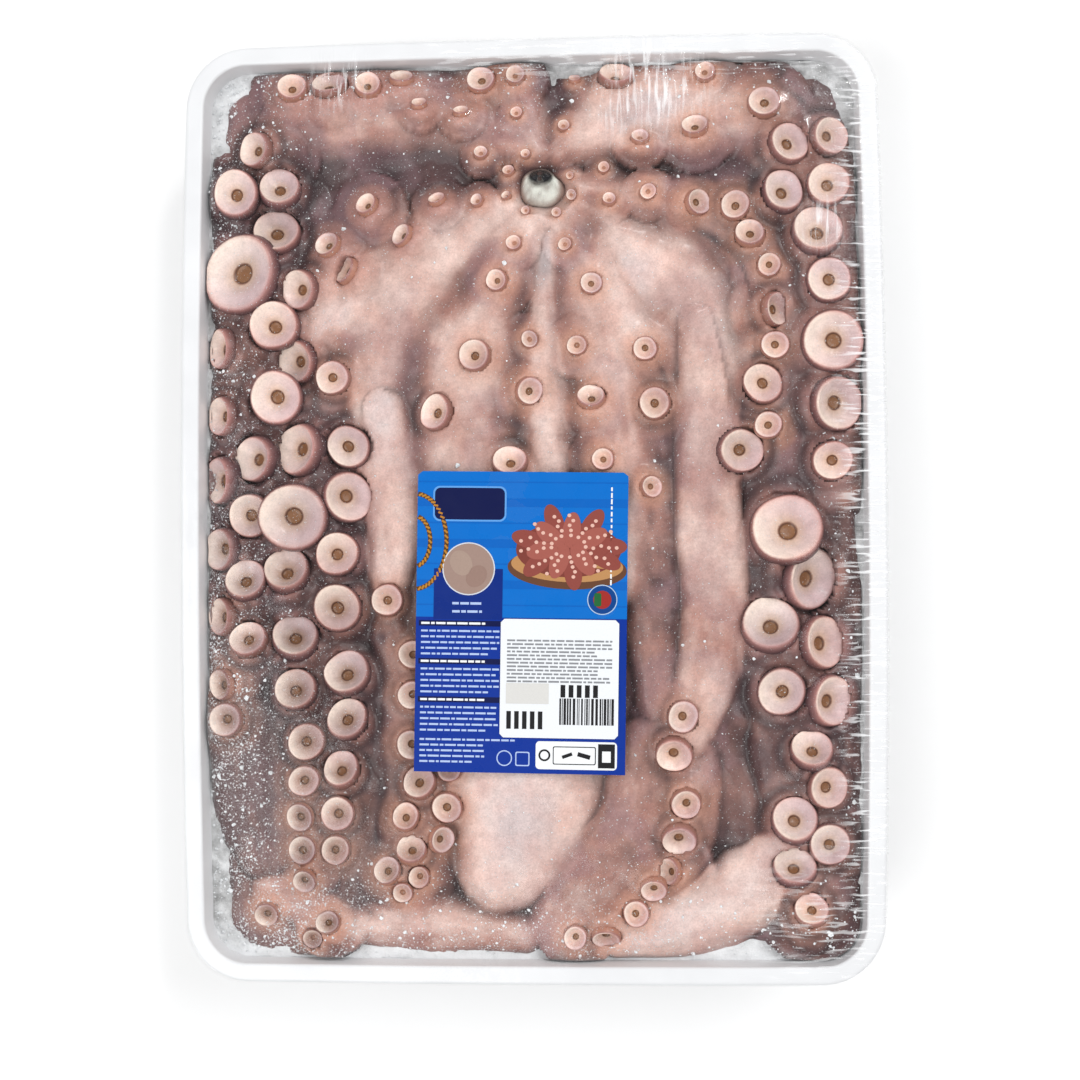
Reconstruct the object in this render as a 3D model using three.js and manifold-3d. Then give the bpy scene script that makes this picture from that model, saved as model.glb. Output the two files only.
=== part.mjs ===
// A whole frozen octopus lying in a shallow white tray under clear wrapping film.
// Millimetres, +Z up. The tray stands on z = 0, +Y runs along its length, and the
// origin is at the middle of the footprint, on the surface the pack stands on.
import * as THREE from 'three';
import { mergeVertices } from 'three/addons/utils/BufferGeometryUtils.js';
import Module from 'manifold-3d';

// Driving dimensions of the pack
const PACK_LENGTH = 400;        // along Y, over the rim
const PACK_WIDTH = 300;         // along X, over the rim
const LONG_SIDE_BOW = 3.5;      // how far each long side swells outwards
const SHORT_SIDE_BOW = 1;       // how far each short side swells outwards
const CORNER_RADIUS = 26;       // plan radius of the rim's corners
const RIM_HEIGHT = 60;          // top face of the rim above the table
const RIM_WIDTH = 8.5;          // flat top of the rim
const RIM_LIP = 5;              // height of the rim's turned-down edge
const WALL = 1.8;               // tray wall and floor
const WALL_DRAFT = 7;           // how much further in the wall stands at its foot
const FOOT_RADIUS = 5;          // bend between wall and floor
const FOOT_SWELL = 0.6;         // how far the bend's top stands out from the wall
const FOOT_MIDDLE = 0.3;        // middle of the bend, as a share of its radius
const RIM_ROUND = 1.6;          // bend of the rim's outer edge
const OPENING_ROUND = 1.5;      // bend from the rim down into the tray
const FILM = 0.4;               // film thickness, thicker than the real film
const FILM_FLAP = 34;           // film turned in under the tray, round an opening
const FILM_RISE = 5;            // height the film climbs from the rim over the outer suckers
const FILM_CLIMB = 20;          // distance over which it climbs
const FILM_SAG = 2;             // how much lower it lies over the middle
const FILM_MIDDLE = 75;         // distance in from the rim where the flat middle starts
const FILM_ROUND = 2;           // bend of the film over the rim and under the foot
const FILM_STEPS = [0, 7, 14, FILM_CLIMB, 48, FILM_MIDDLE]; // where its height is set, in from the rim
const GAP = 0.3;                // space left between touching pieces
const ICE_LEVEL = 50;           // top of the ice at the tray wall
const ICE_WIDTH = 13;           // how far the ice reaches in from the wall
const ICE_DIP = 1.2;            // how much lower the ice lies halfway in
const ICE_FALL = 2;             // how much lower it lies at its inner edge
const CORE_TOP = 50;            // top of the flesh between the arms
const CORE_SHOULDER = 4;        // height of its sloping edge
const CORE_SLOPE = 6;           // width of its sloping edge
const CORE_CLEARANCE = 1;       // from the flesh to the ice and the tray's bend
const LABEL_WIDTH = 88.5;
const LABEL_LENGTH = 126;
const LABEL_CENTRE = [-3.5, -47.7];
const LABEL_TURN = -1.1;        // degrees about Z
const STICKER_WIDTH = 49.5;
const STICKER_LENGTH = 49.5;
const STICKER_CENTRE = [12.4, -71.4];
const PAPER = 0.25;             // thickness of label and sticker
const LABEL_CORNER = 2;
const STICKER_CORNER = 1;
const MOUTH = [5, 141];         // middle of the mouth
const MOUTH_RADIUS = 8.5;
const MOUTH_ROOT = 6;           // how deep the ring of the mouth is set in the flesh
const LIP_HEIGHT = 3;           // how far its lips stand up
const BEAK_RADIUS = 3.6;
const BEAK_HEIGHT = 4.6;
const BEAK_SET = 1.5;           // how deep the beak's hollow is
const MOUTH_SIDES = 12;
const BEAK_SIDES = 10;
const ARM_SIDES = 8;
const ARM_STEP = 24;            // length of one arm facet
const ARM_END = 0.75;           // how far a rounded end reaches, as a share of the half width
const ARM_END_SIZE = 0.55;      // size of an end's last section against the one before
const LIMB_DEPTH = 0.95;        // height of a limb's section against its width
const DEEPEST = 19;             // half height of the thickest limb
const SKIN_STEP = 4;            // distance between the samples of the skin's height
const STEEPEST = 0.45;          // steepest slope that a sucker leans with
const CUP_BASE = 0.6;           // how far a sucker stands up: this much, and
const CUP_GROWTH = 0.42;        // this share of its radius
const CUP_FOOT = 0.8;           // radius of a sucker's foot against its rim's
const CUP_LIP = 0.84;           // radius of a large sucker's lip
const CUP_EDGE = 0.95;          // radius of a small sucker's lip
const CUP_SHOULDER = 0.4;       // height where a large sucker is widest, against its lip's
const CUP_HOLLOW = 0.1;         // height of the bowl's middle, against the lip's
const CUP_ROOM = 1.15;          // room that a leaning sucker takes, against its height
const MAX_CUP_HEIGHT = 5;       // how far the largest sucker stands up
const SUCKER_SINK = 0.4;        // how deep a sucker's foot sits in the skin
const LARGE_SUCKER = 9.5;       // radius from which a sucker gets a rounded rim

// The arms, the web between them and the mantle, seen from above. Each is a
// tapered limb: top is its height from the rim, and each knot is x, y and half width.
const LIMBS = [
  { name: 'left outer arm', top: -2.5, knots: [[-106, 172, 10], [-112, 140, 21], [-116, 95, 24],
    [-119, 50, 22], [-123, 0, 18], [-125, -50, 16], [-128, -96, 9]] },
  { name: 'left inner arm', top: -3, knots: [[-82, 72, 10], [-90, 38, 18], [-93, -5, 21],
    [-93, -60, 19], [-90, -105, 16], [-92, -154, 11]] },
  { name: 'silvery arm back', top: -1, knots: [[-62, 50, 8], [-60, 15, 15], [-62, -20, 16],
    [-58, -54, 9]] },
  { name: 'web to the left', top: -2.5, knots: [[4, 128, 15], [-26, 120, 22], [-56, 108, 26],
    [-84, 98, 22], [-98, 84, 12]] },
  { name: 'web fold', top: -6, knots: [[-34, 84, 15], [-58, 70, 19], [-72, 50, 11]] },
  { name: 'arm down to the left', top: -0.5, knots: [[0, 120, 12], [-14, 90, 22], [-26, 58, 25],
    [-36, 22, 22], [-38, -20, 18], [-36, -70, 14]] },
  { name: 'centre web', top: -3, knots: [[3, 96, 8], [3, 60, 12], [1, 20, 13], [0, -30, 16],
    [-2, -72, 16]] },
  { name: 'middle arm', top: -0.8, knots: [[13, 120, 11], [21, 88, 19], [26, 50, 20], [28, 5, 19],
    [26, -60, 17], [34, -96, 10]] },
  { name: 'arm beside the band', top: -2, knots: [[40, 110, 11], [48, 70, 17], [51, 25, 16],
    [53, -40, 14], [54, -84, 11]] },
  { name: 'pale band', top: -0.5, knots: [[54, 126, 12], [67, 95, 19], [75, 50, 20], [78, 0, 19],
    [77, -45, 19], [72, -92, 14]] },
  { name: 'right arm', top: -2.5, knots: [[62, 134, 9], [86, 126, 14], [100, 100, 17],
    [103, 65, 18], [98, 25, 19], [106, -15, 23], [109, -60, 25], [112, -115, 23],
    [114, -168, 15]] },
  { name: 'right outer arm', top: -3, knots: [[18, 176, 12], [58, 172, 20], [96, 162, 22],
    [117, 138, 21], [124, 100, 18], [126, 50, 17], [128, 5, 12]] },
  { name: 'right arm, wall side', top: -6.5, knots: [[130, -2, 8], [130, -40, 11],
    [130, -90, 11], [129, -150, 9]] },
  { name: 'top left arm', top: -3.5, knots: [[4, 154, 9], [-28, 166, 18], [-66, 172, 20],
    [-98, 172, 15], [-114, 164, 9]] },
  { name: 'top arm', top: -4, knots: [[2, 154, 7], [-4, 170, 14], [-10, 182, 10]] },
  { name: 'web to the right', top: -3.5, knots: [[8, 142, 10], [36, 144, 16], [64, 146, 18],
    [94, 142, 14]] },
  { name: 'mantle', top: 1.5, knots: [[-6, -76, 26], [-8, -108, 31], [-8, -132, 32],
    [-12, -148, 28]] },
  { name: 'arm right of the mantle', top: -4, knots: [[38, -96, 11], [42, -130, 16],
    [30, -160, 12]] },
  { name: 'bottom right arm', top: -2.5, knots: [[104, -142, 12], [88, -160, 22],
    [58, -176, 14], [20, -179, 11]] },
  { name: 'bottom left arm', top: -5.5, knots: [[-122, -100, 12], [-123, -124, 19],
    [-112, -148, 13]] },
  { name: 'bottom left foot', top: -5.5, knots: [[-114, -158, 9], [-98, -168, 14],
    [-82, -176, 9]] },
  { name: 'lower left arm', top: -4.5, knots: [[-62, -50, 10], [-54, -88, 15], [-52, -128, 17],
    [-62, -160, 10]] },
  { name: 'lower right arm', top: -4.5, knots: [[62, -78, 11], [67, -116, 15], [60, -150, 12],
    [28, -176, 9]] },
  { name: 'bottom edge arm', top: -5.5, knots: [[-76, -178, 8], [-44, -174, 14],
    [-4, -179, 10]] },
];

// The rows of suckers. Each knot is x, y and the radius of a sucker there, and
// the suckers between follow at a distance set by their own size.
const SUCKER_ROWS = [
  { name: 'left outer arm, wall side', knots: [[-128, 138, 10], [-125, 103, 17], [-133, 66, 8.5],
    [-134, 30, 9], [-134, -20, 9], [-134, -90, 6.5]], spacing: 1.55 },
  { name: 'left outer arm, inner side', knots: [[-118, 157, 7.5], [-109, 134, 9.5],
    [-101, 96, 8.5], [-107, 74, 10], [-108, 50, 11], [-120, 15, 9.5], [-123, -55, 8.5]],
    spacing: 1.2 },
  { name: 'left inner arm, wall side', knots: [[-85, 57, 7.3], [-99, 27, 10.5], [-103, -2, 14.5],
    [-105, -40, 9.8], [-101, -85, 8.6], [-98, -115, 6.8], [-99, -145, 5.8]], spacing: 1.24 },
  { name: 'left inner arm, inner side', knots: [[-79, 28, 9.4], [-83, -18, 10], [-82, -60, 9.8],
    [-80, -90, 8.6], [-85, -146, 6.4]], spacing: 1.16 },
  { name: 'bottom left foot', knots: [[-98, -158, 5], [-88, -174, 4.8]], spacing: 1.6 },
  { name: 'lower left arm, first row', knots: [[-63, -38, 6.8], [-51, -66, 6.4], [-51, -100, 6.6],
    [-50, -122, 6.6], [-54, -140, 6], [-63, -155, 5.8]], spacing: 1.25 },
  { name: 'lower left arm, second row', knots: [[-36, -112, 5.2], [-38, -134, 5.8],
    [-46, -154, 4.8], [-57, -163, 4.2]], spacing: 1.35 },
  { name: 'top left arm', knots: [[-10, 146, 2.6], [-24, 160, 3], [-46, 174, 3.6],
    [-72, 181, 6], [-103, 178, 6.4]], spacing: 1.9 },
  { name: 'top arm', knots: [[-3, 153, 2.3], [-6, 169, 2.8], [-18, 180, 5.5]], spacing: 2 },
  { name: 'right outer arm, first row', knots: [[15, 160, 2.6], [38, 178, 5.5], [72, 176, 4.6],
    [98, 171, 6.6], [110, 152, 8.2], [107, 132, 8.8]], spacing: 1.6 },
  { name: 'web to the right', knots: [[17, 149, 2.2], [32, 147, 2.8], [48, 156, 4],
    [71, 158, 5.4]], spacing: 2 },
  { name: 'right outer arm, wall side', knots: [[126, 157, 8], [125, 130, 9.2], [124, 108, 9.8],
    [128, 71, 12.8], [129, 42, 11], [128, 18, 8.5]], spacing: 1.12 },
  { name: 'right arm, web', knots: [[18, 134, 2.3], [50, 134, 3.6], [76, 129, 5.4],
    [94, 118, 6.6], [103, 98, 5.6], [104, 72, 6.4], [99, 50, 8.2], [89, 23, 9.6]],
    spacing: 1.32 },
  { name: 'right arm, wall side', knots: [[117, -31, 11.8], [121, -57, 10], [124, -82, 9.2],
    [120, -112, 8.4], [125, -142, 8.6]], spacing: 1.3 },
  { name: 'right arm, inner side', knots: [[108, -9, 15], [101, -50, 11.5], [105, -78, 10.3],
    [112, -104, 8.4], [109, -142, 9], [117, -170, 7]], spacing: 1.42 },
  { name: 'web to the left', knots: [[-10, 135, 2.2], [-38, 132, 3.6], [-58, 121, 5],
    [-74, 129, 5], [-86, 110, 5.6]], spacing: 1.7 },
  { name: 'arm down to the left', knots: [[-2, 127, 2.1], [-9, 108, 3.8], [-19, 80, 5.6],
    [-40, 42, 7.5]], spacing: 2.2 },
  { name: 'middle arm, first row', knots: [[11, 127, 2.1], [17, 108, 3.4], [25, 90, 4.6],
    [22, 62, 5], [27, 44, 5.6], [31, 20, 4.8]], spacing: 2.2 },
  { name: 'middle arm, second row', knots: [[-1, 73, 4], [-1, 51, 5.8], [-9, 21, 7]],
    spacing: 2 },
  { name: 'arm beside the band', knots: [[49, 68, 5.1], [53, 45, 6.8], [51, 10, 4.8]],
    spacing: 2.2 },
  { name: 'lower right arm', knots: [[64, -88, 6.8], [63, -122, 6.8], [58, -152, 5.4],
    [43, -170, 5.4], [18, -180, 5]], spacing: 1.24 },
];

// Outline of the tray seen from above, moved inwards by inset
const CORNER_STEPS = 5;
const SHORT_STEPS = 3;
const LONG_STEPS = 5;

function bowed(x, y) {
  const halfX = PACK_WIDTH / 2;
  const halfY = PACK_LENGTH / 2;
  return [
    x * (1 + (LONG_SIDE_BOW / halfX) * (1 - (y / halfY) ** 2)),
    y * (1 + (SHORT_SIDE_BOW / halfY) * (1 - (x / halfX) ** 2)),
  ];
}

function outline(inset, cornerRadius = CORNER_RADIUS - inset) {
  const radius = Math.max(cornerRadius, 3);
  const cx = PACK_WIDTH / 2 - LONG_SIDE_BOW - inset - radius;
  const cy = PACK_LENGTH / 2 - SHORT_SIDE_BOW - inset - radius;
  const corners = [[cx, cy], [-cx, cy], [-cx, -cy], [cx, -cy]];
  const points = [];
  corners.forEach(([px, py], quarter) => {
    for (let step = 0; step <= CORNER_STEPS; step += 1) {
      const angle = (quarter + step / CORNER_STEPS) * (Math.PI / 2);
      points.push([px + radius * Math.cos(angle), py + radius * Math.sin(angle)]);
    }
    const [startX, startY] = points[points.length - 1];
    const [nextX, nextY] = corners[(quarter + 1) % 4];
    const turn = (quarter + 1) * (Math.PI / 2);
    const endX = nextX + radius * Math.cos(turn);
    const endY = nextY + radius * Math.sin(turn);
    const steps = quarter % 2 === 0 ? SHORT_STEPS : LONG_STEPS;
    for (let step = 1; step < steps; step += 1) {
      const t = step / steps;
      points.push([startX + (endX - startX) * t, startY + (endY - startY) * t]);
    }
  });
  return points.map(([x, y]) => bowed(x, y));
}

function ringAt(inset, z, cornerRadius) {
  return outline(inset, cornerRadius).map(([x, y]) => [x, y, z]);
}

// A closed solid from rings of equal length. Its two ends are closed by a fan,
// or joined to each other when the rings run round a hollow middle.
function ringSolid(rings, joined = false) {
  const count = rings[0].length;
  const positions = rings.flat(2);
  const index = [];
  const last = joined ? rings.length : rings.length - 1;
  for (let row = 0; row < last; row += 1) {
    const here = row * count;
    const there = ((row + 1) % rings.length) * count;
    for (let k = 0; k < count; k += 1) {
      const next = (k + 1) % count;
      index.push(here + k, here + next, there + next);
      index.push(here + k, there + next, there + k);
    }
  }
  if (!joined) {
    const topStart = (rings.length - 1) * count;
    const base = positions.length / 3;
    positions.push(0, 0, rings[0][0][2], 0, 0, rings[rings.length - 1][0][2]);
    for (let k = 0; k < count; k += 1) {
      const next = (k + 1) % count;
      index.push(base, next, k);
      index.push(base + 1, topStart + k, topStart + next);
    }
  }
  const geometry = new THREE.BufferGeometry();
  geometry.setAttribute('position', new THREE.Float32BufferAttribute(positions, 3));
  geometry.setIndex(index);
  return geometry;
}

// Heights that follow from the driving dimensions
const TRAY_BASE = FILM + GAP;
const FLOOR_TOP = TRAY_BASE + WALL;
const INNER_TOP_INSET = RIM_WIDTH;
const INNER_FOOT_INSET = RIM_WIDTH + WALL_DRAFT;
const TRAY_EDGE = FILM + GAP;
const LIP_WALL = WALL * 0.7;
const FILM_ON_RIM = RIM_HEIGHT + GAP;
const FILM_TOP = FILM_ON_RIM + FILM_RISE - FILM_SAG;
const LABEL_BASE = FILM_TOP + FILM + GAP;
const STICKER_BASE = LABEL_BASE + PAPER + GAP;

function trayGeometry() {
  const outerFoot = INNER_FOOT_INSET - WALL;
  const outerTop = INNER_TOP_INSET - WALL;
  return ringSolid([
    ringAt(outerFoot + FOOT_RADIUS, TRAY_BASE),
    ringAt(outerFoot + FOOT_RADIUS * FOOT_MIDDLE, TRAY_BASE + FOOT_RADIUS * FOOT_MIDDLE),
    ringAt(outerFoot - FOOT_SWELL, TRAY_BASE + FOOT_RADIUS),
    ringAt(outerTop, RIM_HEIGHT - WALL),
    ringAt(TRAY_EDGE + WALL, RIM_HEIGHT - WALL),
    ringAt(TRAY_EDGE + LIP_WALL, RIM_HEIGHT - RIM_LIP),
    ringAt(TRAY_EDGE, RIM_HEIGHT - RIM_LIP),
    ringAt(TRAY_EDGE, RIM_HEIGHT - RIM_ROUND),
    ringAt(TRAY_EDGE + RIM_ROUND, RIM_HEIGHT),
    ringAt(INNER_TOP_INSET - OPENING_ROUND, RIM_HEIGHT),
    ringAt(INNER_TOP_INSET, RIM_HEIGHT - OPENING_ROUND),
    ringAt(INNER_FOOT_INSET - FOOT_SWELL, FLOOR_TOP + FOOT_RADIUS),
    ringAt(INNER_FOOT_INSET + FOOT_RADIUS * FOOT_MIDDLE, FLOOR_TOP + FOOT_RADIUS * FOOT_MIDDLE),
    ringAt(INNER_FOOT_INSET + FOOT_RADIUS, FLOOR_TOP),
  ]);
}

// Inset of the tray's inner wall at height z
function wallInset(z) {
  const wallTop = RIM_HEIGHT - OPENING_ROUND;
  const t = (wallTop - z) / (wallTop - FLOOR_TOP - FOOT_RADIUS);
  return INNER_TOP_INSET + (WALL_DRAFT - FOOT_SWELL) * THREE.MathUtils.clamp(t, 0, 1);
}

// Height of the film's underside at a distance in from the rim's inner edge
function filmHeight(distance) {
  const climb = THREE.MathUtils.clamp(distance / FILM_CLIMB, 0, 1);
  const sag = THREE.MathUtils.smoothstep(distance, FILM_CLIMB, FILM_MIDDLE);
  return FILM_ON_RIM + FILM_RISE * Math.sin((climb * Math.PI) / 2) - FILM_SAG * sag;
}

function filmGeometry() {
  const outer = [];
  const inner = [];
  [...FILM_STEPS].reverse().forEach((distance) => {
    const z = filmHeight(distance);
    outer.push(ringAt(RIM_WIDTH + distance, z + FILM, CORNER_RADIUS - RIM_WIDTH));
    inner.push(ringAt(RIM_WIDTH + distance, z, CORNER_RADIUS - RIM_WIDTH));
  });
  const footInset = INNER_FOOT_INSET - WALL - FILM - GAP;
  const mitre = FILM * 0.4;
  outer.push(ringAt(FILM_ROUND, FILM_ON_RIM + FILM));
  outer.push(ringAt(0, FILM_ON_RIM - FILM_ROUND));
  outer.push(ringAt(0, RIM_HEIGHT - RIM_LIP));
  outer.push(ringAt(footInset, FILM_ROUND));
  outer.push(ringAt(footInset + FILM_ROUND, 0));
  outer.push(ringAt(footInset + FILM_FLAP, 0));
  inner.push(ringAt(FILM_ROUND, FILM_ON_RIM));
  inner.push(ringAt(FILM, FILM_ON_RIM - FILM_ROUND));
  inner.push(ringAt(FILM, RIM_HEIGHT - RIM_LIP));
  inner.push(ringAt(footInset + FILM, FILM_ROUND + mitre));
  inner.push(ringAt(footInset + FILM_ROUND + mitre, FILM));
  inner.push(ringAt(footInset + FILM_FLAP, FILM));
  return ringSolid([...inner, ...outer.reverse()]);
}

function iceGeometry() {
  const foot = FLOOR_TOP + FOOT_RADIUS + GAP;
  const inner = RIM_WIDTH + ICE_WIDTH;
  const middle = RIM_WIDTH + ICE_WIDTH * 0.5;
  return ringSolid([
    ringAt(wallInset(foot) + GAP, foot),
    ringAt(wallInset(ICE_LEVEL) + GAP, ICE_LEVEL),
    ringAt(middle, ICE_LEVEL - ICE_DIP),
    ringAt(inner, ICE_LEVEL - ICE_FALL, CORNER_RADIUS),
    ringAt(inner, foot, CORNER_RADIUS),
  ], true);
}

// Arms as tapered limbs along a smooth line
function limbCurve(limb) {
  const points = limb.knots.map(([x, y, r]) => new THREE.Vector3(x, y, r));
  return new THREE.CatmullRomCurve3(points, false, 'catmullrom', 0.5);
}

const limbCurves = LIMBS.map(limbCurve);

function halfHeight(radius) {
  return Math.min(radius * LIMB_DEPTH, DEEPEST);
}

function limbGeometry(limb, curve) {
  const steps = Math.max(4, Math.round(curve.getLength() / ARM_STEP));
  const geometry = new THREE.CylinderGeometry(1, 1, 1, ARM_SIDES, steps + 2);
  const rest = geometry.attributes.position;
  for (let i = 0; i < rest.count; i += 1) {
    const row = Math.round((rest.getY(i) + 0.5) * (steps + 2));
    const t = THREE.MathUtils.clamp((row - 1) / steps, 0, 1);
    const point = curve.getPointAt(t);
    const tangent = curve.getTangentAt(t).setZ(0).normalize();
    const end = row === 0 ? -1 : Number(row === steps + 2);
    const shrink = end === 0 ? 1 : ARM_END_SIZE;
    const radius = point.z * shrink;
    const height = halfHeight(point.z);
    const across = rest.getX(i) * radius;
    const up = rest.getZ(i) * height * shrink;
    const reach = end * point.z * ARM_END;
    rest.setXYZ(
      i,
      point.x + tangent.x * reach + tangent.y * across,
      point.y + tangent.y * reach - tangent.x * across,
      RIM_HEIGHT + limb.top - height + up,
    );
  }
  return geometry;
}

// Samples along the limbs, from which the height of the skin is worked out
const skinSamples = limbCurves.flatMap((curve, k) => {
  const steps = Math.ceil(curve.getLength() / SKIN_STEP);
  return curve.getSpacedPoints(steps).map((p) => {
    const height = halfHeight(p.z);
    return { x: p.x, y: p.y, r: p.z, height, middle: RIM_HEIGHT + LIMBS[k].top - height };
  });
});

function skinHeight(x, y) {
  let best = CORE_TOP;
  skinSamples.forEach((s) => {
    const away = Math.hypot(x - s.x, y - s.y) / s.r;
    if (away < 1) {
      best = Math.max(best, s.middle + s.height * Math.sqrt(1 - away * away));
    }
  });
  return best;
}

// Direction a sucker at x, y faces, smoothed over its own width
function skinNormal(x, y, radius) {
  const reach = Math.max(radius, SKIN_STEP);
  const slopeX = (skinHeight(x + reach, y) - skinHeight(x - reach, y)) / (2 * reach);
  const slopeY = (skinHeight(x, y + reach) - skinHeight(x, y - reach)) / (2 * reach);
  return new THREE.Vector3(
    THREE.MathUtils.clamp(-slopeX, -STEEPEST, STEEPEST),
    THREE.MathUtils.clamp(-slopeY, -STEEPEST, STEEPEST),
    1,
  ).normalize();
}

// The suckers of one row, each as position, radius and facing direction
function rowSuckers(row) {
  const points = row.knots.map(([x, y, r]) => new THREE.Vector3(x, y, r));
  const curve = new THREE.CatmullRomCurve3(points, false, 'catmullrom', 0.5);
  const length = curve.getLength();
  const places = [];
  let along = 0;
  while (along <= length) {
    const p = curve.getPointAt(along / length);
    places.push({ x: p.x, y: p.y, r: p.z });
    along += 2 * p.z * row.spacing;
  }
  return places;
}

const suckers = SUCKER_ROWS.flatMap(rowSuckers);

function suckerGeometry({ x, y, r }) {
  const height = Math.min(CUP_GROWTH * r + CUP_BASE, MAX_CUP_HEIGHT);
  const rim = r > LARGE_SUCKER
    ? [[r, height * CUP_SHOULDER], [r * CUP_LIP, height]]
    : [[r * CUP_EDGE, height]];
  const profile = [
    [0, -height], [r * CUP_FOOT, -height], ...rim, [0, height * CUP_HOLLOW],
  ].map(([across, up]) => new THREE.Vector2(across, up));
  const sides = Math.round(THREE.MathUtils.clamp(r * 0.8, 5, 8));
  const geometry = new THREE.LatheGeometry(profile, sides);
  const turn = new THREE.Quaternion().setFromUnitVectors(
    new THREE.Vector3(0, 1, 0),
    skinNormal(x, y, r),
  );
  geometry.applyQuaternion(turn);
  const cover = filmHeight(edgeDistance(x, y) - r * 0.25) - 2 * GAP;
  const seat = Math.min(skinHeight(x, y) - SUCKER_SINK, cover - height * CUP_ROOM);
  geometry.translate(x, y, seat);
  return geometry;
}

// Distance of a place in from the rim's inner edge
function edgeDistance(x, y) {
  const dx = PACK_WIDTH / 2 - RIM_WIDTH - Math.abs(x);
  const dy = PACK_LENGTH / 2 - RIM_WIDTH - Math.abs(y);
  return Math.min(dx, dy);
}

function turnedAtMouth(profile, sides, base) {
  const points = profile.map(([across, up]) => new THREE.Vector2(across, up));
  const geometry = new THREE.LatheGeometry(points, sides);
  geometry.rotateX(Math.PI / 2);
  geometry.translate(MOUTH[0], MOUTH[1], base);
  return geometry;
}

function mouthGeometry() {
  return turnedAtMouth([
    [0, -MOUTH_ROOT], [MOUTH_RADIUS * 1.15, -MOUTH_ROOT], [MOUTH_RADIUS, LIP_HEIGHT / 2],
    [MOUTH_RADIUS * 0.78, LIP_HEIGHT], [0, LIP_HEIGHT],
  ], MOUTH_SIDES, skinHeight(...MOUTH));
}

// The hollow in the mouth's ring, which the beak stands in
function mouthHollowGeometry() {
  return turnedAtMouth([
    [0, -BEAK_SET], [BEAK_RADIUS, -BEAK_SET], [MOUTH_RADIUS * 0.5, LIP_HEIGHT - 1],
    [MOUTH_RADIUS * 0.6, LIP_HEIGHT + BEAK_HEIGHT], [0, LIP_HEIGHT + BEAK_HEIGHT],
  ], MOUTH_SIDES, skinHeight(...MOUTH));
}

function beakGeometry() {
  return turnedAtMouth([
    [0, 0], [BEAK_RADIUS * 0.85, 0], [BEAK_RADIUS * 0.8, BEAK_HEIGHT * 0.43],
    [BEAK_RADIUS * 0.35, BEAK_HEIGHT * 0.91], [0, BEAK_HEIGHT],
  ], BEAK_SIDES, skinHeight(...MOUTH) - BEAK_SET + GAP);
}

const wasm = await Module();
wasm.setup();

function solidOf(geometry) {
  const bare = geometry.clone();
  bare.deleteAttribute('normal');
  bare.deleteAttribute('uv');
  const merged = mergeVertices(bare, 1e-4);
  return new wasm.Manifold(new wasm.Mesh({
    numProp: 3,
    vertProperties: Float32Array.from(merged.attributes.position.array),
    triVerts: Uint32Array.from(merged.index.array),
  }));
}

// The outer skin of a joined solid: small pockets between the limbs are filled
function outerSkin(solid) {
  const mesh = solid.getMesh();
  const parent = Array.from({ length: mesh.vertProperties.length / 3 }, (_, i) => i);
  const rootOf = (i) => {
    let root = i;
    while (parent[root] !== root) {
      parent[root] = parent[parent[root]];
      root = parent[root];
    }
    return root;
  };
  const triangles = [];
  for (let i = 0; i < mesh.triVerts.length; i += 3) {
    const triangle = mesh.triVerts.slice(i, i + 3);
    parent[rootOf(triangle[0])] = rootOf(triangle[1]);
    parent[rootOf(triangle[1])] = rootOf(triangle[2]);
    triangles.push(triangle);
  }
  const skins = new Map();
  triangles.forEach((triangle) => {
    const root = rootOf(triangle[0]);
    if (!skins.has(root)) {
      skins.set(root, []);
    }
    skins.get(root).push(...triangle);
  });
  const largest = [...skins.values()].sort((a, b) => b.length - a.length)[0];
  const geometry = new THREE.BufferGeometry();
  geometry.setAttribute('position', new THREE.BufferAttribute(mesh.vertProperties, 3));
  geometry.setIndex(largest);
  geometry.deleteAttribute('normal');
  return mergeVertices(geometry.toNonIndexed(), 1e-5);
}

// The flesh between and under the arms
function coreGeometry() {
  const foot = FLOOR_TOP + GAP;
  const edge = RIM_WIDTH + ICE_WIDTH + CORE_CLEARANCE;
  return ringSolid([
    ringAt(INNER_FOOT_INSET + FOOT_RADIUS + CORE_CLEARANCE, foot),
    ringAt(INNER_FOOT_INSET + CORE_CLEARANCE, foot + FOOT_RADIUS),
    ringAt(edge, CORE_TOP - CORE_SHOULDER, CORNER_RADIUS),
    ringAt(edge + CORE_SLOPE, CORE_TOP, CORNER_RADIUS),
  ]);
}

// The space inside the tray and under the film that the octopus keeps to
function roomGeometry() {
  const clear = GAP + 0.1;
  return ringSolid([
    ringAt(INNER_FOOT_INSET + FOOT_RADIUS, FLOOR_TOP + GAP),
    ringAt(wallInset(FLOOR_TOP + FOOT_RADIUS) + clear, FLOOR_TOP + FOOT_RADIUS + GAP),
    ringAt(RIM_WIDTH + clear, RIM_HEIGHT - OPENING_ROUND),
    ringAt(RIM_WIDTH + clear, filmHeight(0) - GAP),
    ...FILM_STEPS.slice(1).map((distance) => (
      ringAt(RIM_WIDTH + distance, filmHeight(distance) - GAP, CORNER_RADIUS - RIM_WIDTH)
    )),
  ]);
}

// The ice with its gap, cut from the octopus
function iceRoomGeometry() {
  const inner = RIM_WIDTH + ICE_WIDTH + GAP;
  return ringSolid([
    ringAt(0, -1),
    ringAt(0, ICE_LEVEL + GAP),
    ringAt(wallInset(ICE_LEVEL) + GAP, ICE_LEVEL + GAP),
    ringAt(RIM_WIDTH + ICE_WIDTH * 0.5, ICE_LEVEL - ICE_DIP + GAP),
    ringAt(inner, ICE_LEVEL - ICE_FALL + GAP, CORNER_RADIUS),
    ringAt(inner, -1, CORNER_RADIUS),
  ], true);
}

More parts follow.
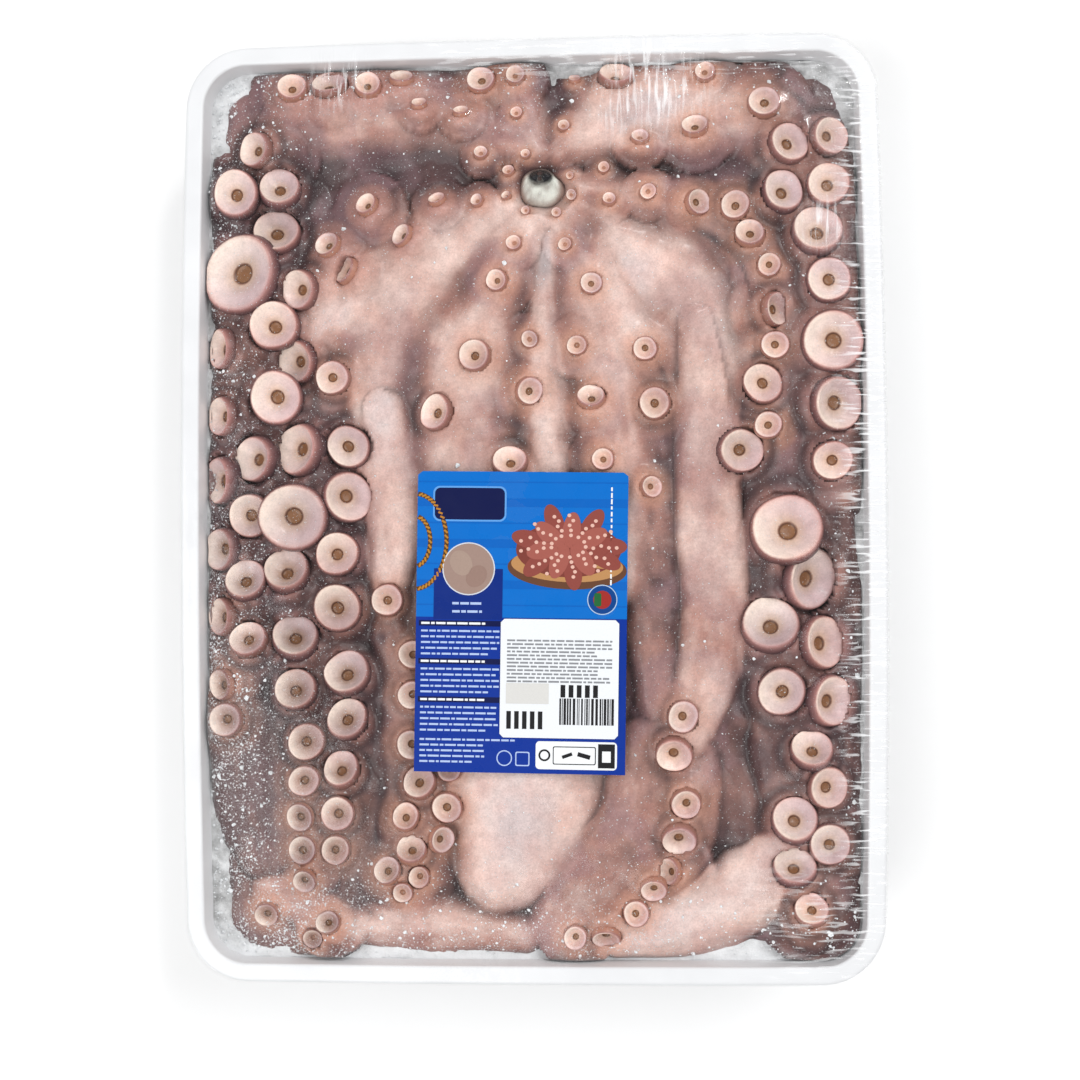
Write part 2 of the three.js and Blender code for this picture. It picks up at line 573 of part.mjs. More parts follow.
function octopusGeometry() {
  let flesh = solidOf(coreGeometry());
  LIMBS.forEach((limb, k) => {
    flesh = flesh.add(solidOf(limbGeometry(limb, limbCurves[k])));
  });
  flesh = flesh.add(solidOf(mouthGeometry()));
  suckers.forEach((sucker) => {
    flesh = flesh.add(solidOf(suckerGeometry(sucker)));
  });
  flesh = flesh.subtract(solidOf(mouthHollowGeometry()));
  flesh = flesh.intersect(solidOf(roomGeometry()));
  flesh = flesh.subtract(solidOf(iceRoomGeometry()));
  return outerSkin(flesh);
}

function sheetGeometry(width, length, corner) {
  const shape = new THREE.Shape();
  const x = width / 2;
  const y = length / 2;
  shape.moveTo(-x + corner, -y);
  shape.lineTo(x - corner, -y);
  shape.absarc(x - corner, -y + corner, corner, -Math.PI / 2, 0);
  shape.lineTo(x, y - corner);
  shape.absarc(x - corner, y - corner, corner, 0, Math.PI / 2);
  shape.lineTo(-x + corner, y);
  shape.absarc(-x + corner, y - corner, corner, Math.PI / 2, Math.PI);
  shape.lineTo(-x, -y + corner);
  shape.absarc(-x + corner, -y + corner, corner, Math.PI, Math.PI * 1.5);
  return new THREE.ExtrudeGeometry(shape, { depth: PAPER, bevelEnabled: false, curveSegments: 3 });
}

const pack = new THREE.Group();

function addPiece(name, geometry, colour, roughness, place = [0, 0, 0], turn = 0) {
  const material = new THREE.MeshStandardMaterial({ color: colour, roughness, metalness: 0 });
  const mesh = new THREE.Mesh(geometry, material);
  mesh.name = name;
  mesh.position.set(...place);
  mesh.rotation.z = THREE.MathUtils.degToRad(turn);
  pack.add(mesh);
}

addPiece('tray', trayGeometry(), 0xebecee, 0.35);
addPiece('ice', iceGeometry(), 0x9aa09c, 0.25);
addPiece('octopus', octopusGeometry(), 0xb38f84, 0.4);
addPiece('beak', beakGeometry(), 0x2a201c, 0.3);
addPiece('film', filmGeometry(), 0xf4f6f8, 0.08);
addPiece('label', sheetGeometry(LABEL_WIDTH, LABEL_LENGTH, LABEL_CORNER), 0x0a6fc4, 0.3,
  [...LABEL_CENTRE, LABEL_BASE], LABEL_TURN);
addPiece('weight_sticker', sheetGeometry(STICKER_WIDTH, STICKER_LENGTH, STICKER_CORNER), 0xf2f3f4, 0.35,
  [...STICKER_CENTRE, STICKER_BASE], LABEL_TURN);

export default pack;
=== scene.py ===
import math

import bpy
import numpy as np
from mathutils import Matrix, Vector


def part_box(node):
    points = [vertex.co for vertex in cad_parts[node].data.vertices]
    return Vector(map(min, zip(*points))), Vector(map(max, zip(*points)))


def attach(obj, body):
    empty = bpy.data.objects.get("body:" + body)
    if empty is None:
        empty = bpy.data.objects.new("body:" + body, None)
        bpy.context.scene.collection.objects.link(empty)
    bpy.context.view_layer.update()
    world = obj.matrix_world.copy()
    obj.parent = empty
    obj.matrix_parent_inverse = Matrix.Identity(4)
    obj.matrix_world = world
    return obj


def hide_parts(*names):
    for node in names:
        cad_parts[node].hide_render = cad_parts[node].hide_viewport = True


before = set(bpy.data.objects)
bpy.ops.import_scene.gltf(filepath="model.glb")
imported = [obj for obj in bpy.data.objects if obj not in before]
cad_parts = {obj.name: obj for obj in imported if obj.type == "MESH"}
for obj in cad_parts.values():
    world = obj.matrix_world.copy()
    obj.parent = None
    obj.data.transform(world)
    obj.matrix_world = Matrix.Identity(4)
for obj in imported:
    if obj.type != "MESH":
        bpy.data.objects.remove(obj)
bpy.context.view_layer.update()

bl_info = {
    "name": "Frozen Octopus Tray",
    "version": (1, 0, 0),
    "blender": (4, 5, 0),
    "location": "View3D > Sidebar > Octopus Tray",
    "description": "Dresses the packed octopus, its tray, ice, film and label",
    "category": "Object",
}

# Sizes and places are in millimetres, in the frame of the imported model.
MM = 0.001

# The tray: its plan, its rim and the section of its wall
PACK_WIDTH = 300.0
PACK_LENGTH = 400.0
LONG_SIDE_BOW = 3.5        # how far the sides curve out at their middle
SHORT_SIDE_BOW = 1.0
CORNER_RADIUS = 26.0
RIM_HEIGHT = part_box("tray")[1][2] / MM
TRAY_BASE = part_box("tray")[0][2] / MM
RIM_WIDTH = 8.5
RIM_LIP = 5.0              # how far the rolled rim hangs down
RIM_EDGE = 0.7             # from the edge of the pack to the rim's outer face
WALL = 1.8
WALL_DRAFT = 7.0           # how far the wall leans in from rim to floor
WALL_GAP = 0.8             # least gap between the wall's inside and the octopus
FOOT_RADIUS = 5.0
FOOT_RECESS = 0.9          # how far the middle of the underside is raised
OUTER_ROUND = 1.8          # radius of the rim's outer edge, and of its inner one
INNER_ROUND = 1.4

# The film's underside: over the rim, over the octopus and in the middle
FILM_CLEAR = 0.35
FILM_RISE = 5.0
FILM_CLIMB = 20.0
FILM_SAG = 2.0
FILM_MIDDLE = 75.0

# The ice, the block of flesh and the mouth
ICE_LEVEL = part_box("ice")[1][2] / MM
CORE_TOP = 50.0
MOUTH = (5.0, 141.0)
MOUTH_RADIUS = 8.8
LUMP = (5.3, 136.8)        # middle of the muscle round the mouth

# The label and the weight sticker
LABEL_WIDTH = 88.5
LABEL_LENGTH = 126.0
LABEL_CENTRE = (-3.5, -47.7)
LABEL_TURN = math.radians(-1.1)
LABEL_LEVEL = 63.5         # height of its underside, give or take its waves
STICKER_WIDTH = 49.5
STICKER_LENGTH = 49.5
STICKER_CENTRE = (12.4, -71.4)
STICKER_RISE = 0.5         # from the label's underside to the sticker's
PAPER = 0.1

# How an arm, a fold of web and a smooth sheet of web lie: how deep the side falls by the edge,
# how square the back is, how softly it runs into what is beside it, and how dark the painted
# shade in its seam is.
KINDS = {
    "arm": (11, 3.2, 1.4, 1.0),
    "fold": (9, 3.4, 2.5, 0.7),
    "web": (8.5, 2.1, 4.0, 0.0),
}

# The arms, the web between them and the mantle, seen from above. top is the height of the
# back from the rim, tone runs from mauve brown to pale, and each knot is x, y and half width.
LIMBS = [
    {"name": "left outer arm", "kind": "arm", "top": -3, "tone": 0.2, "knots": [
        (-106, 172, 10), (-112, 140, 21), (-116, 95, 24), (-119, 50, 22), (-123, 0, 18),
        (-125, -50, 16), (-128, -96, 9)]},
    {"name": "left inner arm", "kind": "arm", "top": -3.5, "tone": 0.18, "knots": [
        (-82, 72, 10), (-90, 38, 18), (-93, -5, 22), (-92, -60, 20), (-90, -105, 17),
        (-92, -154, 12)]},
    {"name": "web to the left", "kind": "web", "top": -3, "tone": 0.84, "knots": [
        (7, 129, 11), (-21, 118, 20), (-46, 104, 25), (-70, 94, 25), (-86, 78, 18)]},
    {"name": "left web down", "kind": "web", "top": -3.5, "tone": 0.78, "knots": [
        (-50, 102, 24), (-64, 78, 24), (-67, 52, 18), (-64, 34, 14)]},
    {"name": "silvery arm back", "kind": "fold", "top": -2.5, "tone": 1.0, "knots": [
        (-64, 44, 12), (-60, 16, 15), (-58, -4, 15), (-60, -26, 10)]},
    {"name": "arm down to the left", "kind": "web", "top": -1.5, "tone": 0.74, "knots": [
        (3, 125, 9), (-10, 106, 15), (-24, 80, 20), (-31, 50, 24), (-30, 15, 24),
        (-30, -40, 20)]},
    {"name": "centre web", "kind": "web", "top": -4, "tone": 0.9, "knots": [
        (7, 120, 8), (8, 93, 12), (8, 67, 13), (9, 37, 14), (9, -20, 14)]},
    {"name": "middle arm", "kind": "web", "top": -1.5, "tone": 0.68, "knots": [
        (14, 124, 9), (24, 105, 16), (31, 79, 20), (35, 54, 20), (36, 20, 20), (38, -30, 16)]},
    {"name": "right web", "kind": "web", "top": -2.5, "tone": 0.88, "knots": [
        (16, 129, 10), (35, 112, 20), (54, 99, 27), (69, 82, 27), (74, 58, 22), (73, 40, 16)]},
    # The crest's pale tone is a painted highlight on the top of the web.
    {"name": "crest of the web", "kind": "web", "top": -2, "tone": 1.1, "knots": [
        (24, 104, 9), (36, 88, 13), (46, 72, 11)]},
    {"name": "arm beside the band", "kind": "fold", "top": -4, "tone": 0.36, "knots": [
        (44, 66, 10), (50, 46, 14), (51, 20, 15), (51, -14, 15), (52, -56, 14), (52, -81, 10)]},
    {"name": "pale band", "kind": "fold", "top": -2.2, "tone": 0.82, "knots": [
        (70, 78, 12), (74, 46, 16), (74, 16, 17), (76, -14, 18), (77, -39, 18), (73, -72, 16),
        (67, -97, 10)]},
    {"name": "right arm", "kind": "arm", "top": -3, "tone": 0.28, "knots": [
        (76, 124, 11), (98, 112, 15), (107, 87, 16), (108, 57, 17), (101, 30, 18), (104, 2, 21),
        (107, -27, 24), (109, -64, 25), (112, -106, 23), (114, -147, 21), (114, -170, 15)]},
    {"name": "right outer arm", "kind": "arm", "top": -4, "tone": 0.42, "knots": [
        (96, 166, 22), (115, 142, 21), (124, 100, 18), (126, 50, 17), (128, 5, 12)]},
    {"name": "right arm, wall side", "kind": "arm", "top": -6.5, "tone": 0.2, "knots": [
        (130, -2, 8), (130, -40, 11), (130, -90, 11), (129, -150, 9)]},
    {"name": "top left arm", "kind": "web", "top": -3, "tone": 0.62, "knots": [
        (3, 152, 9), (-16, 161, 16), (-42, 168, 20), (-67, 170, 22), (-93, 170, 18),
        (-109, 164, 12)]},
    {"name": "top arm", "kind": "web", "top": -3.5, "tone": 0.52, "knots": [
        (4, 152, 7), (-1, 168, 13), (-7, 178, 13)]},
    {"name": "top right web", "kind": "web", "top": -2.5, "tone": 0.8, "knots": [
        (14, 152, 9), (36, 164, 20), (60, 164, 24), (86, 164, 22)]},
    {"name": "web to the right", "kind": "web", "top": -3.5, "tone": 0.72, "knots": [
        (14, 137, 8), (40, 134, 13), (68, 129, 15), (90, 124, 13)]},
    {"name": "mantle", "kind": "arm", "top": 1, "tone": 1.02, "knots": [
        (0, -84, 34), (-1, -108, 34), (-4, -130, 30), (-9, -146, 24), (-13, -155, 16)]},
    {"name": "flap beside the mantle", "kind": "fold", "top": -4, "tone": 0.42, "knots": [
        (46, -100, 13), (41, -130, 20), (26, -152, 24), (12, -172, 16)]},
    {"name": "bottom right arm", "kind": "arm", "top": -2.5, "tone": 0.86, "knots": [
        (104, -142, 10), (92, -158, 20), (64, -172, 16), (36, -180, 10)]},
    {"name": "bottom left arm", "kind": "arm", "top": -4, "tone": 0.12, "knots": [
        (-122, -88, 14), (-121, -118, 20), (-116, -146, 14)]},
    {"name": "bottom left foot", "kind": "fold", "top": -4, "tone": 0.6, "knots": [
        (-112, -160, 9), (-98, -166, 13), (-82, -174, 9)]},
    {"name": "lower left arm", "kind": "fold", "top": -4.5, "tone": 0.2, "knots": [
        (-62, -50, 10), (-54, -88, 15), (-51, -128, 17), (-60, -160, 10)]},
    {"name": "lower right arm", "kind": "fold", "top": -4.5, "tone": 0.34, "knots": [
        (62, -78, 11), (67, -116, 15), (60, -150, 12), (28, -176, 9)]},
    {"name": "bottom edge arm", "kind": "web", "top": -5, "tone": 0.74, "knots": [
        (-76, -176, 8), (-44, -174, 14), (-4, -179, 10)]},
]

# The suckers, row by row: x, y and half the width and length that each shows from above.
# faces says which way the narrowed ones are turned, and lean tilts the whole row.
SUCKER_ROWS = [
    {"name": "left outer arm, wall side", "faces": (-1, 1), "lean": (-0.1, 0), "suckers": [
        (-125, 135.9, 10.3, 10.3), (-122.9, 101.6, 17.0, 17.5), (-130.8, 70.1, 6, 8.6),
        (-130.8, 41.1, 6, 8.6), (-132.2, 13.8, 7.3, 10.3), (-131.3, -15.9, 7.7, 9.4),
        (-131, -44.8, 6, 8.1), (-131, -73.6, 5.6, 6.8), (-129.3, -88.4, 7.3, 7.3)]},
    {"name": "left outer arm, inner side", "faces": (-1, 1), "lean": (0, 0), "suckers": [
        (-115.5, 154.6, 6.8, 8.1), (-106.5, 137.2, 9.4, 8.6), (-108.7, 118.8, 10.3, 9.4),
        (-97.1, 94.7, 7.7, 8.6), (-108.8, 79.1, 10.7, 10.7), (-98.5, 64, 8.1, 9.4),
        (-108, 48.4, 11.5, 11.5), (-116.6, 22.6, 8.6, 10.3), (-119.7, -1.6, 9.4, 9.4),
        (-121.5, -30, 9, 8.1), (-119.8, -55, 8.1, 7.7)]},
    {"name": "left inner arm, wall side", "faces": (-1, 1), "lean": (0, 0), "suckers": [
        (-83.1, 56.2, 7.3, 7.3), (-97.3, 26.2, 9.4, 11.5), (-100.8, -2.6, 14.5, 14.5),
        (-103.9, -26.3, 10.3, 9), (-100.5, -54.7, 10.3, 8.6), (-99.7, -76.2, 9, 8.6),
        (-95.1, -97.7, 8.1, 8.1), (-96, -114.1, 6.8, 6.8), (-97.7, -129.3, 6, 6),
        (-96.5, -143.1, 6, 6)]},
    {"name": "left inner arm, inner side", "faces": (1, 1), "lean": (0, 0), "suckers": [
        (-77.6, 27.2, 9.4, 9.4), (-79, 6, 9.4, 10.7), (-82, -18.5, 9.4, 9.4),
        (-82.1, -41.3, 10.3, 10.3), (-77.9, -69.5, 9.8, 9), (-78, -88.9, 9, 8.6),
        (-80.6, -110.3, 8.1, 7.3), (-82, -128, 7.3, 7.3), (-82.9, -143.1, 6.4, 6.4)]},
    {"name": "bottom left foot", "faces": (-1, 1), "lean": (0, -0.2), "suckers": [
        (-95.7, -155.7, 5.1, 5.1), (-112.8, -170.4, 5.1, 5.1), (-85.9, -173.7, 5.1, 4.7),
        (-93.6, -180.8, 4.3, 4.3)]},
    {"name": "lower left arm, first row", "faces": (-1, 1), "lean": (0, 0), "suckers": [
        (-61.2, -38, 6.8, 6.8), (-49.8, -61.2, 6.4, 6.4), (-49.9, -78, 6.4, 6.4),
        (-50.4, -99, 6.4, 6.4), (-47.1, -115.4, 7.3, 6.8), (-53.1, -129.6, 6, 5.6),
        (-50.6, -143.8, 6.4, 5.6), (-60.8, -152.2, 6, 5.6)]},
    {"name": "lower left arm, second row", "faces": (1, -1), "lean": (0, 0), "suckers": [
        (-34.8, -109.5, 5.1, 5.1), (-35.8, -125.4, 6.4, 6.4), (-38.8, -138.8, 4.3, 5.6),
        (-47.7, -154.7, 4.7, 4.7), (-54.5, -161, 4.3, 4.3)]},
    {"name": "top left arm", "faces": (-1, 1), "lean": (0, 0.45), "suckers": [
        (-8.5, 144, 2.6, 2.6), (-19.9, 151.1, 3, 3), (-27.9, 167.9, 3.4, 2.1),
        (-45.8, 171.7, 3.4, 2.6), (-53.9, 183.5, 5.1, 2.6), (-68.1, 180.8, 6, 6),
        (-85.2, 181.3, 7.7, 6.4), (-100.8, 180.4, 6.4, 6.4)]},
    {"name": "top arm", "faces": (1, 1), "lean": (0, 0.3), "suckers": [
        (-0.8, 150.2, 2.1, 2.1), (-4.6, 167.7, 2.6, 2.6), (-4.9, 183.5, 4.3, 4.3),
        (-19.8, 182.6, 6, 6)]},
    {"name": "right outer arm, first row", "faces": (1, 1), "lean": (0, 0.2), "suckers": [
        (15.3, 162.2, 2.6, 2.6), (19.7, 182.9, 2.6, 1.7), (37.4, 182.4, 7.7, 6),
        (32.1, 144.4, 2.6, 2.6), (47.7, 155.5, 3.8, 3.4), (70.8, 159.6, 5.6, 5.1),
        (75.2, 183.6, 4.3, 4.3), (99.7, 169, 6.8, 6.8), (109.1, 151.9, 7.7, 8.6),
        (106.8, 131.8, 8.6, 9)]},
    {"name": "right arm", "faces": (1, 1), "lean": (0, 0), "suckers": [
        (17.7, 141.3, 1.7, 1.7), (18.5, 132.4, 2.4, 2.4), (34.5, 129.9, 3, 2.6),
        (50.9, 133, 3.6, 3.6), (71, 128.3, 4.7, 5.6), (87.2, 126.3, 6.4, 6.4),
        (93.4, 114, 6.4, 6), (101.1, 100.8, 5.1, 5.1), (102.6, 82.8, 5.1, 7.3),
        (103.3, 67.3, 6, 6), (98.2, 51.4, 8.6, 8.6), (100.1, 33.8, 6, 6), (88, 23.6, 9, 9.8),
        (107.5, -10, 15, 14.5), (116, -30, 10.7, 13.3), (100.5, -50.3, 12, 11.1),
        (120.7, -57, 8.6, 11.1), (104.8, -77.3, 10.3, 10.3), (123.7, -81, 8.1, 10.7),
        (116.9, -102.5, 9, 7.3), (122.9, -117, 8.1, 8.6), (109.6, -131.4, 9.8, 9),
        (123.9, -140.5, 8.6, 8.6), (109.4, -151.2, 9, 7.3), (116.3, -168.1, 7.3, 6.4)]},
    {"name": "right outer arm, wall side", "faces": (1, 1), "lean": (0.1, 0), "suckers": [
        (125.8, 155.3, 7.7, 8.6), (126, 134.7, 9, 9), (121.2, 114.7, 10.7, 9.8),
        (126, 94.5, 9.4, 9.4), (127.3, 69, 12.8, 12.8), (127.9, 43.1, 10.7, 11.5),
        (126.4, 18.9, 8.6, 8.6)]},
    {"name": "web to the left", "faces": (-1, 1), "lean": (-0.45, 0.5), "suckers": [
        (-9, 133, 2.1, 2.1), (-21.3, 130.7, 3, 3), (-38.3, 131.1, 3.8, 3.4),
        (-52.9, 116.5, 4.7, 5.1), (-68.2, 129.6, 5.1, 5.1), (-85, 112.8, 5.6, 5.6),
        (-76.9, 102, 5.1, 6)]},
    {"name": "arm down to the left", "faces": (-1, 1), "lean": (-0.2, 0.1), "suckers": [
        (-0.6, 126, 1.9, 1.9), (-5.7, 112.1, 3.4, 3.4), (-13, 96.6, 4.7, 4.7),
        (-22.5, 65, 6.8, 6.8), (-38.8, 41.1, 7.3, 7.7)]},
    {"name": "middle arm", "faces": (1, 1), "lean": (0, 0), "suckers": [
        (12.1, 124.9, 2.1, 2.1), (15.8, 111.3, 3, 3), (26.7, 94.6, 4.7, 4.7),
        (20.6, 68.6, 4.3, 4.3), (0.4, 71.8, 3.8, 3.8), (-0.2, 49.9, 5.6, 6), (26.3, 46.1, 6, 5.1),
        (-8.4, 19.2, 7.3, 6.4), (31.2, 20.4, 4.7, 4.7), (49.1, 66.8, 5.1, 5.1),
        (53.1, 43.7, 6.8, 6.8), (50.8, 8.9, 4.3, 4.7)]},
    {"name": "lower right arm", "faces": (-1, -1), "lean": (0, 0), "suckers": [
        (63.7, -87.5, 6.8, 6.8), (59.9, -102.5, 7.7, 7.3), (64.7, -123.2, 6.4, 6),
        (61.7, -137.7, 7.3, 6), (58.6, -151.8, 4.3, 5.6), (51.1, -158.4, 5.6, 4.7),
        (43.6, -169.2, 5.6, 5.6), (31, -178.4, 6, 3.4), (18.1, -179.3, 5.1, 5.1)]},
]


# Plan of the tray

def bowed(x, y):
    """A place on a straight-sided rectangle, moved out to the tray's bowed sides."""
    half_x, half_y = PACK_WIDTH / 2, PACK_LENGTH / 2
    return (x * (1 + LONG_SIDE_BOW / half_x * (1 - (y / half_y) ** 2)),
            y * (1 + SHORT_SIDE_BOW / half_y * (1 - (x / half_x) ** 2)))


def tray_place(u, v, inset):
    """Where -1..1 coordinates across and along the tray lie, at an inset from its edge."""
    radius = max(CORNER_RADIUS - inset, 3.0)
    half_x = PACK_WIDTH / 2 - LONG_SIDE_BOW - inset
    half_y = PACK_LENGTH / 2 - SHORT_SIDE_BOW - inset
    y = v * half_y
    into_corner = np.clip(np.abs(y) - (half_y - radius), 0, radius)
    width = half_x - radius + np.sqrt(np.maximum(radius ** 2 - into_corner ** 2, 0))
    return bowed(u * width, y)


def tray_ring(inset, fine=1, corner_radius=None):
    """Places round the tray at an inset from its edge, the same number on each side."""
    radius = max(CORNER_RADIUS - inset, 3.0) if corner_radius is None else corner_radius
    cx = PACK_WIDTH / 2 - LONG_SIDE_BOW - inset - radius
    cy = PACK_LENGTH / 2 - SHORT_SIDE_BOW - inset - radius
    corners = [(cx, cy), (-cx, cy), (-cx, -cy), (cx, -cy)]
    places = []
    for side in range(4):
        long_side = side % 2 == 0
        count = (70 if long_side else 50) * fine
        length = 2 * (cy if long_side else cx)
        turn = side * math.pi / 2
        px, py = corners[side]
        for k in range(count):
            back = length * (1 - k / count)
            places.append((px + radius * math.cos(turn) + back * math.sin(turn),
                           py + radius * math.sin(turn) - back * math.cos(turn)))
        for k in range(16 * fine):
            angle = turn + k / (16 * fine) * math.pi / 2
            places.append((px + radius * math.cos(angle), py + radius * math.sin(angle)))
    x, y = np.array(places).T
    return bowed(x, y)


def ring_at(inset, z, fine=1, corner_radius=None):
    """One ring of places, x, y and z."""
    x, y = tray_ring(inset, fine, corner_radius)
    return np.column_stack([x, y, np.full(len(x), float(z))])


def inset_at(x, y):
    """How far in from the tray's edge a place lies."""
    bow_x = 1 + LONG_SIDE_BOW / (PACK_WIDTH / 2) * (1 - (y / (PACK_LENGTH / 2)) ** 2)
    bow_y = 1 + SHORT_SIDE_BOW / (PACK_LENGTH / 2) * (1 - (x / (PACK_WIDTH / 2)) ** 2)
    over_x = np.abs(x / bow_x) - (PACK_WIDTH / 2 - LONG_SIDE_BOW - CORNER_RADIUS)
    over_y = np.abs(y / bow_y) - (PACK_LENGTH / 2 - SHORT_SIDE_BOW - CORNER_RADIUS)
    beyond = np.hypot(np.maximum(over_x, 0), np.maximum(over_y, 0))
    return CORNER_RADIUS - beyond - np.minimum(np.maximum(over_x, over_y), 0)


def edge_distance(x, y):
    """How far in from the rim's inner edge a place lies."""
    return inset_at(x, y) - RIM_WIDTH


def inside_wall(places):
    """The places again, with any that lie in or beyond the tray's wall moved in from it."""
    x, y, z = places.T
    depth = np.clip((RIM_HEIGHT - z) / (RIM_HEIGHT - TRAY_BASE - WALL - FOOT_RADIUS), 0, 1)
    short = RIM_WIDTH + WALL_GAP + WALL_DRAFT * depth - inset_at(x, y)
    short = np.where(z < RIM_HEIGHT, np.maximum(short, 0), 0)
    by_side = PACK_WIDTH / 2 - np.abs(x) < PACK_LENGTH / 2 - np.abs(y)
    return np.column_stack([x - np.sign(x) * short * by_side,
                            y - np.sign(y) * short * ~by_side, z])


def film_limit(distance):
    """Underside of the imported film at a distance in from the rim's inner edge."""
    climb = np.clip(distance / FILM_CLIMB, 0, 1)
    t = np.clip((distance - FILM_CLIMB) / (FILM_MIDDLE - FILM_CLIMB), 0, 1)
    sag = t * t * (3 - 2 * t)
    return RIM_HEIGHT + 0.3 + FILM_RISE * np.sin(climb * math.pi / 2) - FILM_SAG * sag


# Noise and smooth lines

def soft_noise(a, b, seed):
    """Smooth noise from -1 to 1 on a seeded lattice."""
    table = np.random.default_rng(seed).uniform(-1, 1, (97, 97))
    ia, ib = np.floor(a).astype(int), np.floor(b).astype(int)
    fa, fb = a - ia, b - ib
    fa, fb = fa * fa * (3 - 2 * fa), fb * fb * (3 - 2 * fb)
    ia, ib, ja, jb = ia % 97, ib % 97, (ia + 1) % 97, (ib + 1) % 97
    low = table[ia, ib] * (1 - fa) + table[ja, ib] * fa
    high = table[ia, jb] * (1 - fa) + table[ja, jb] * fa
    return low * (1 - fb) + high * fb


def rough_noise(a, b, seed, octaves=3):
    """Layered noise, each layer half as strong and twice as fine as the last."""
    total = np.zeros_like(a, dtype=float)
    for k in range(octaves):
        total += soft_noise(a * 2 ** k + 7.3 * k, b * 2 ** k - 3.1 * k, seed + k) / 2 ** k
    return total / (2 - 2 ** (1 - octaves))


def smooth_line(knots, samples=24):
    """A Catmull-Rom line through the knots, with samples points for each stretch."""
    p = np.array(knots, dtype=float)
    p = np.vstack([2 * p[0] - p[1], p, 2 * p[-1] - p[-2]])
    t = np.linspace(0, 1, samples, endpoint=False)[:, None]
    rows = []
    for k in range(1, len(p) - 2):
        a, b, c, d = p[k - 1:k + 3]
        rows.append(0.5 * (2 * b + (c - a) * t + (2 * a - 5 * b + 4 * c - d) * t ** 2
                           + (3 * b - a - 3 * c + d) * t ** 3))
    return np.vstack(rows + [p[-2][None]])


def spaced(line, step):
    """The line again, with points a step apart."""
    lengths = np.concatenate([[0], np.cumsum(np.linalg.norm(np.diff(line, axis=0), axis=1))])
    count = max(2, int(round(lengths[-1] / step)) + 1)
    at = np.linspace(0, lengths[-1], count)
    return np.column_stack([np.interp(at, lengths, line[:, k]) for k in range(3)])


# Relief of the octopus

FLESH_SPREAD = 1.04    # how far the pressed arms spread beyond their width


def soft_step(a, b, bend):
    """The share of b, 0 to 1, where two heights meet over a bend."""
    return np.clip(0.5 + 0.5 * (b - a) / bend, 0, 1)


def flesh_fields(x, y):
    """Height, tone, streaks, folds and seams of the skin, for flat arrays of places."""
    inside = edge_distance(x, y)
    height = CORE_TOP + 0.8 + 2.6 * rough_noise(x / 15, y / 15, 11)
    height -= 8 * np.clip((11 - inside) / 7, 0, 1)
    # Where no limb lies, the skin is low in the gaps and is painted darkest there, as shade.
    tone = np.full(x.shape, 0.06)
    streak = rough_noise(x / 9, y / 20, 71)
    fold = rough_noise(x / 12, y / 12, 31)
    seam = np.zeros(x.shape)
    for order, limb in enumerate(LIMBS):
        fall, square, bend, dark = KINDS[limb["kind"]]
        line = spaced(smooth_line(limb["knots"]), 2.5)
        reach = 1.4 * line[:, 2].max() + 1
        near = ((x > line[:, 0].min() - reach) & (x < line[:, 0].max() + reach)
                & (y > line[:, 1].min() - reach) & (y < line[:, 1].max() + reach))
        idx = np.nonzero(near)[0]
        dx = x[idx, None] - line[None, :, 0]
        dy = y[idx, None] - line[None, :, 1]
        away = np.hypot(dx, dy) / line[None, :, 2]
        best = away.argmin(axis=1)
        rows = np.arange(len(idx))
        tangent = np.gradient(line[:, :2], axis=0)[best]
        tangent /= np.linalg.norm(tangent, axis=1)[:, None]
        side = (dx[rows, best] * tangent[:, 1] - dy[rows, best] * tangent[:, 0]) / line[best, 2]
        swell = 1 + 0.09 * soft_noise(best / 7.0, order + 3.0 * np.sign(side), 23)
        d = away[rows, best] / (FLESH_SPREAD * swell)
        top = RIM_HEIGHT + limb["top"] - fall * d ** square
        share = soft_step(height[idx], top, bend)
        met = np.exp(-((top - height[idx]) / 1.3) ** 2) * (d > 0.6)
        height[idx] = height[idx] * (1 - share) + top * share + bend * share * (1 - share)
        seam[idx] = np.maximum(seam[idx] * (1 - share), dark * met)
        drift = soft_noise(best / 14.0, np.full(len(idx), order * 5.0), 24)
        # The tone falls towards each limb's edges: painted shade on its sides, painted highlight on
        # its back.
        own = limb["tone"] + 0.14 * drift - (0.32 if dark else 0.5) * np.minimum(d, 1) ** 2.4
        tone[idx] += share * (own - tone[idx])
        streak[idx] += share * (rough_noise(best / 3.6 + order * 40, side * 4.5, 71) - streak[idx])
        wave = rough_noise(best / 9.6 + order * 17, side * 3.0, 31)
        rings = rough_noise(best / 1.45, side * 1.4, 37, 2)
        fold[idx] += share * (wave + 0.25 * rings - fold[idx])
    return height, tone, streak, fold, seam


# Soft hollows in the skin: x, y, half width, half length, turn in degrees and how deep and how
# dark with painted shade. Those below zero are rises, only lightened, as painted highlight.
HOLLOWS = [
    (24, 118, 7, 16, -35, 0.34), (50, 114, 8, 26, -70, 0.12), (-26, 96, 7, 24, -28, 0.22),
    (-48, 44, 6, 30, -8, 0.3), (14, 46, 6, 34, 4, 0.26), (11, 80, 4, 22, 0, 0.2),
    (-60, 146, 26, 9, 8, 0.4), (-92, 134, 18, 14, 0, 0.34), (40, 148, 30, 6, 0, 0.22),
    (82, 140, 16, 12, 20, 0.36), (62, 30, 5, 40, -4, 0.24), (58, 76, 6, 18, 10, 0.14),
    (24, 28, 12, 16, 0, 0.1), (70, -40, 17, 26, 0, 0.24), (12, 56, 9, 14, 0, 0.1),
    (76, 12, 18, 30, 0, 0.05), (-60, -4, 14, 34, 0, 0.13), (-116, -122, 14, 34, 0, 0.14),
    (-92, -100, 20, 50, 0, 0.06), (62, 172, 26, 9, 0, -0.2), (-8, -128, 18, 20, 0, -0.12),
    (-42, 76, 9, 12, 30, -0.1), (50, 98, 12, 10, 0, -0.06), (8, 104, 5, 12, 0, -0.16),
    (66, 92, 13, 18, 0, 0.18),
]


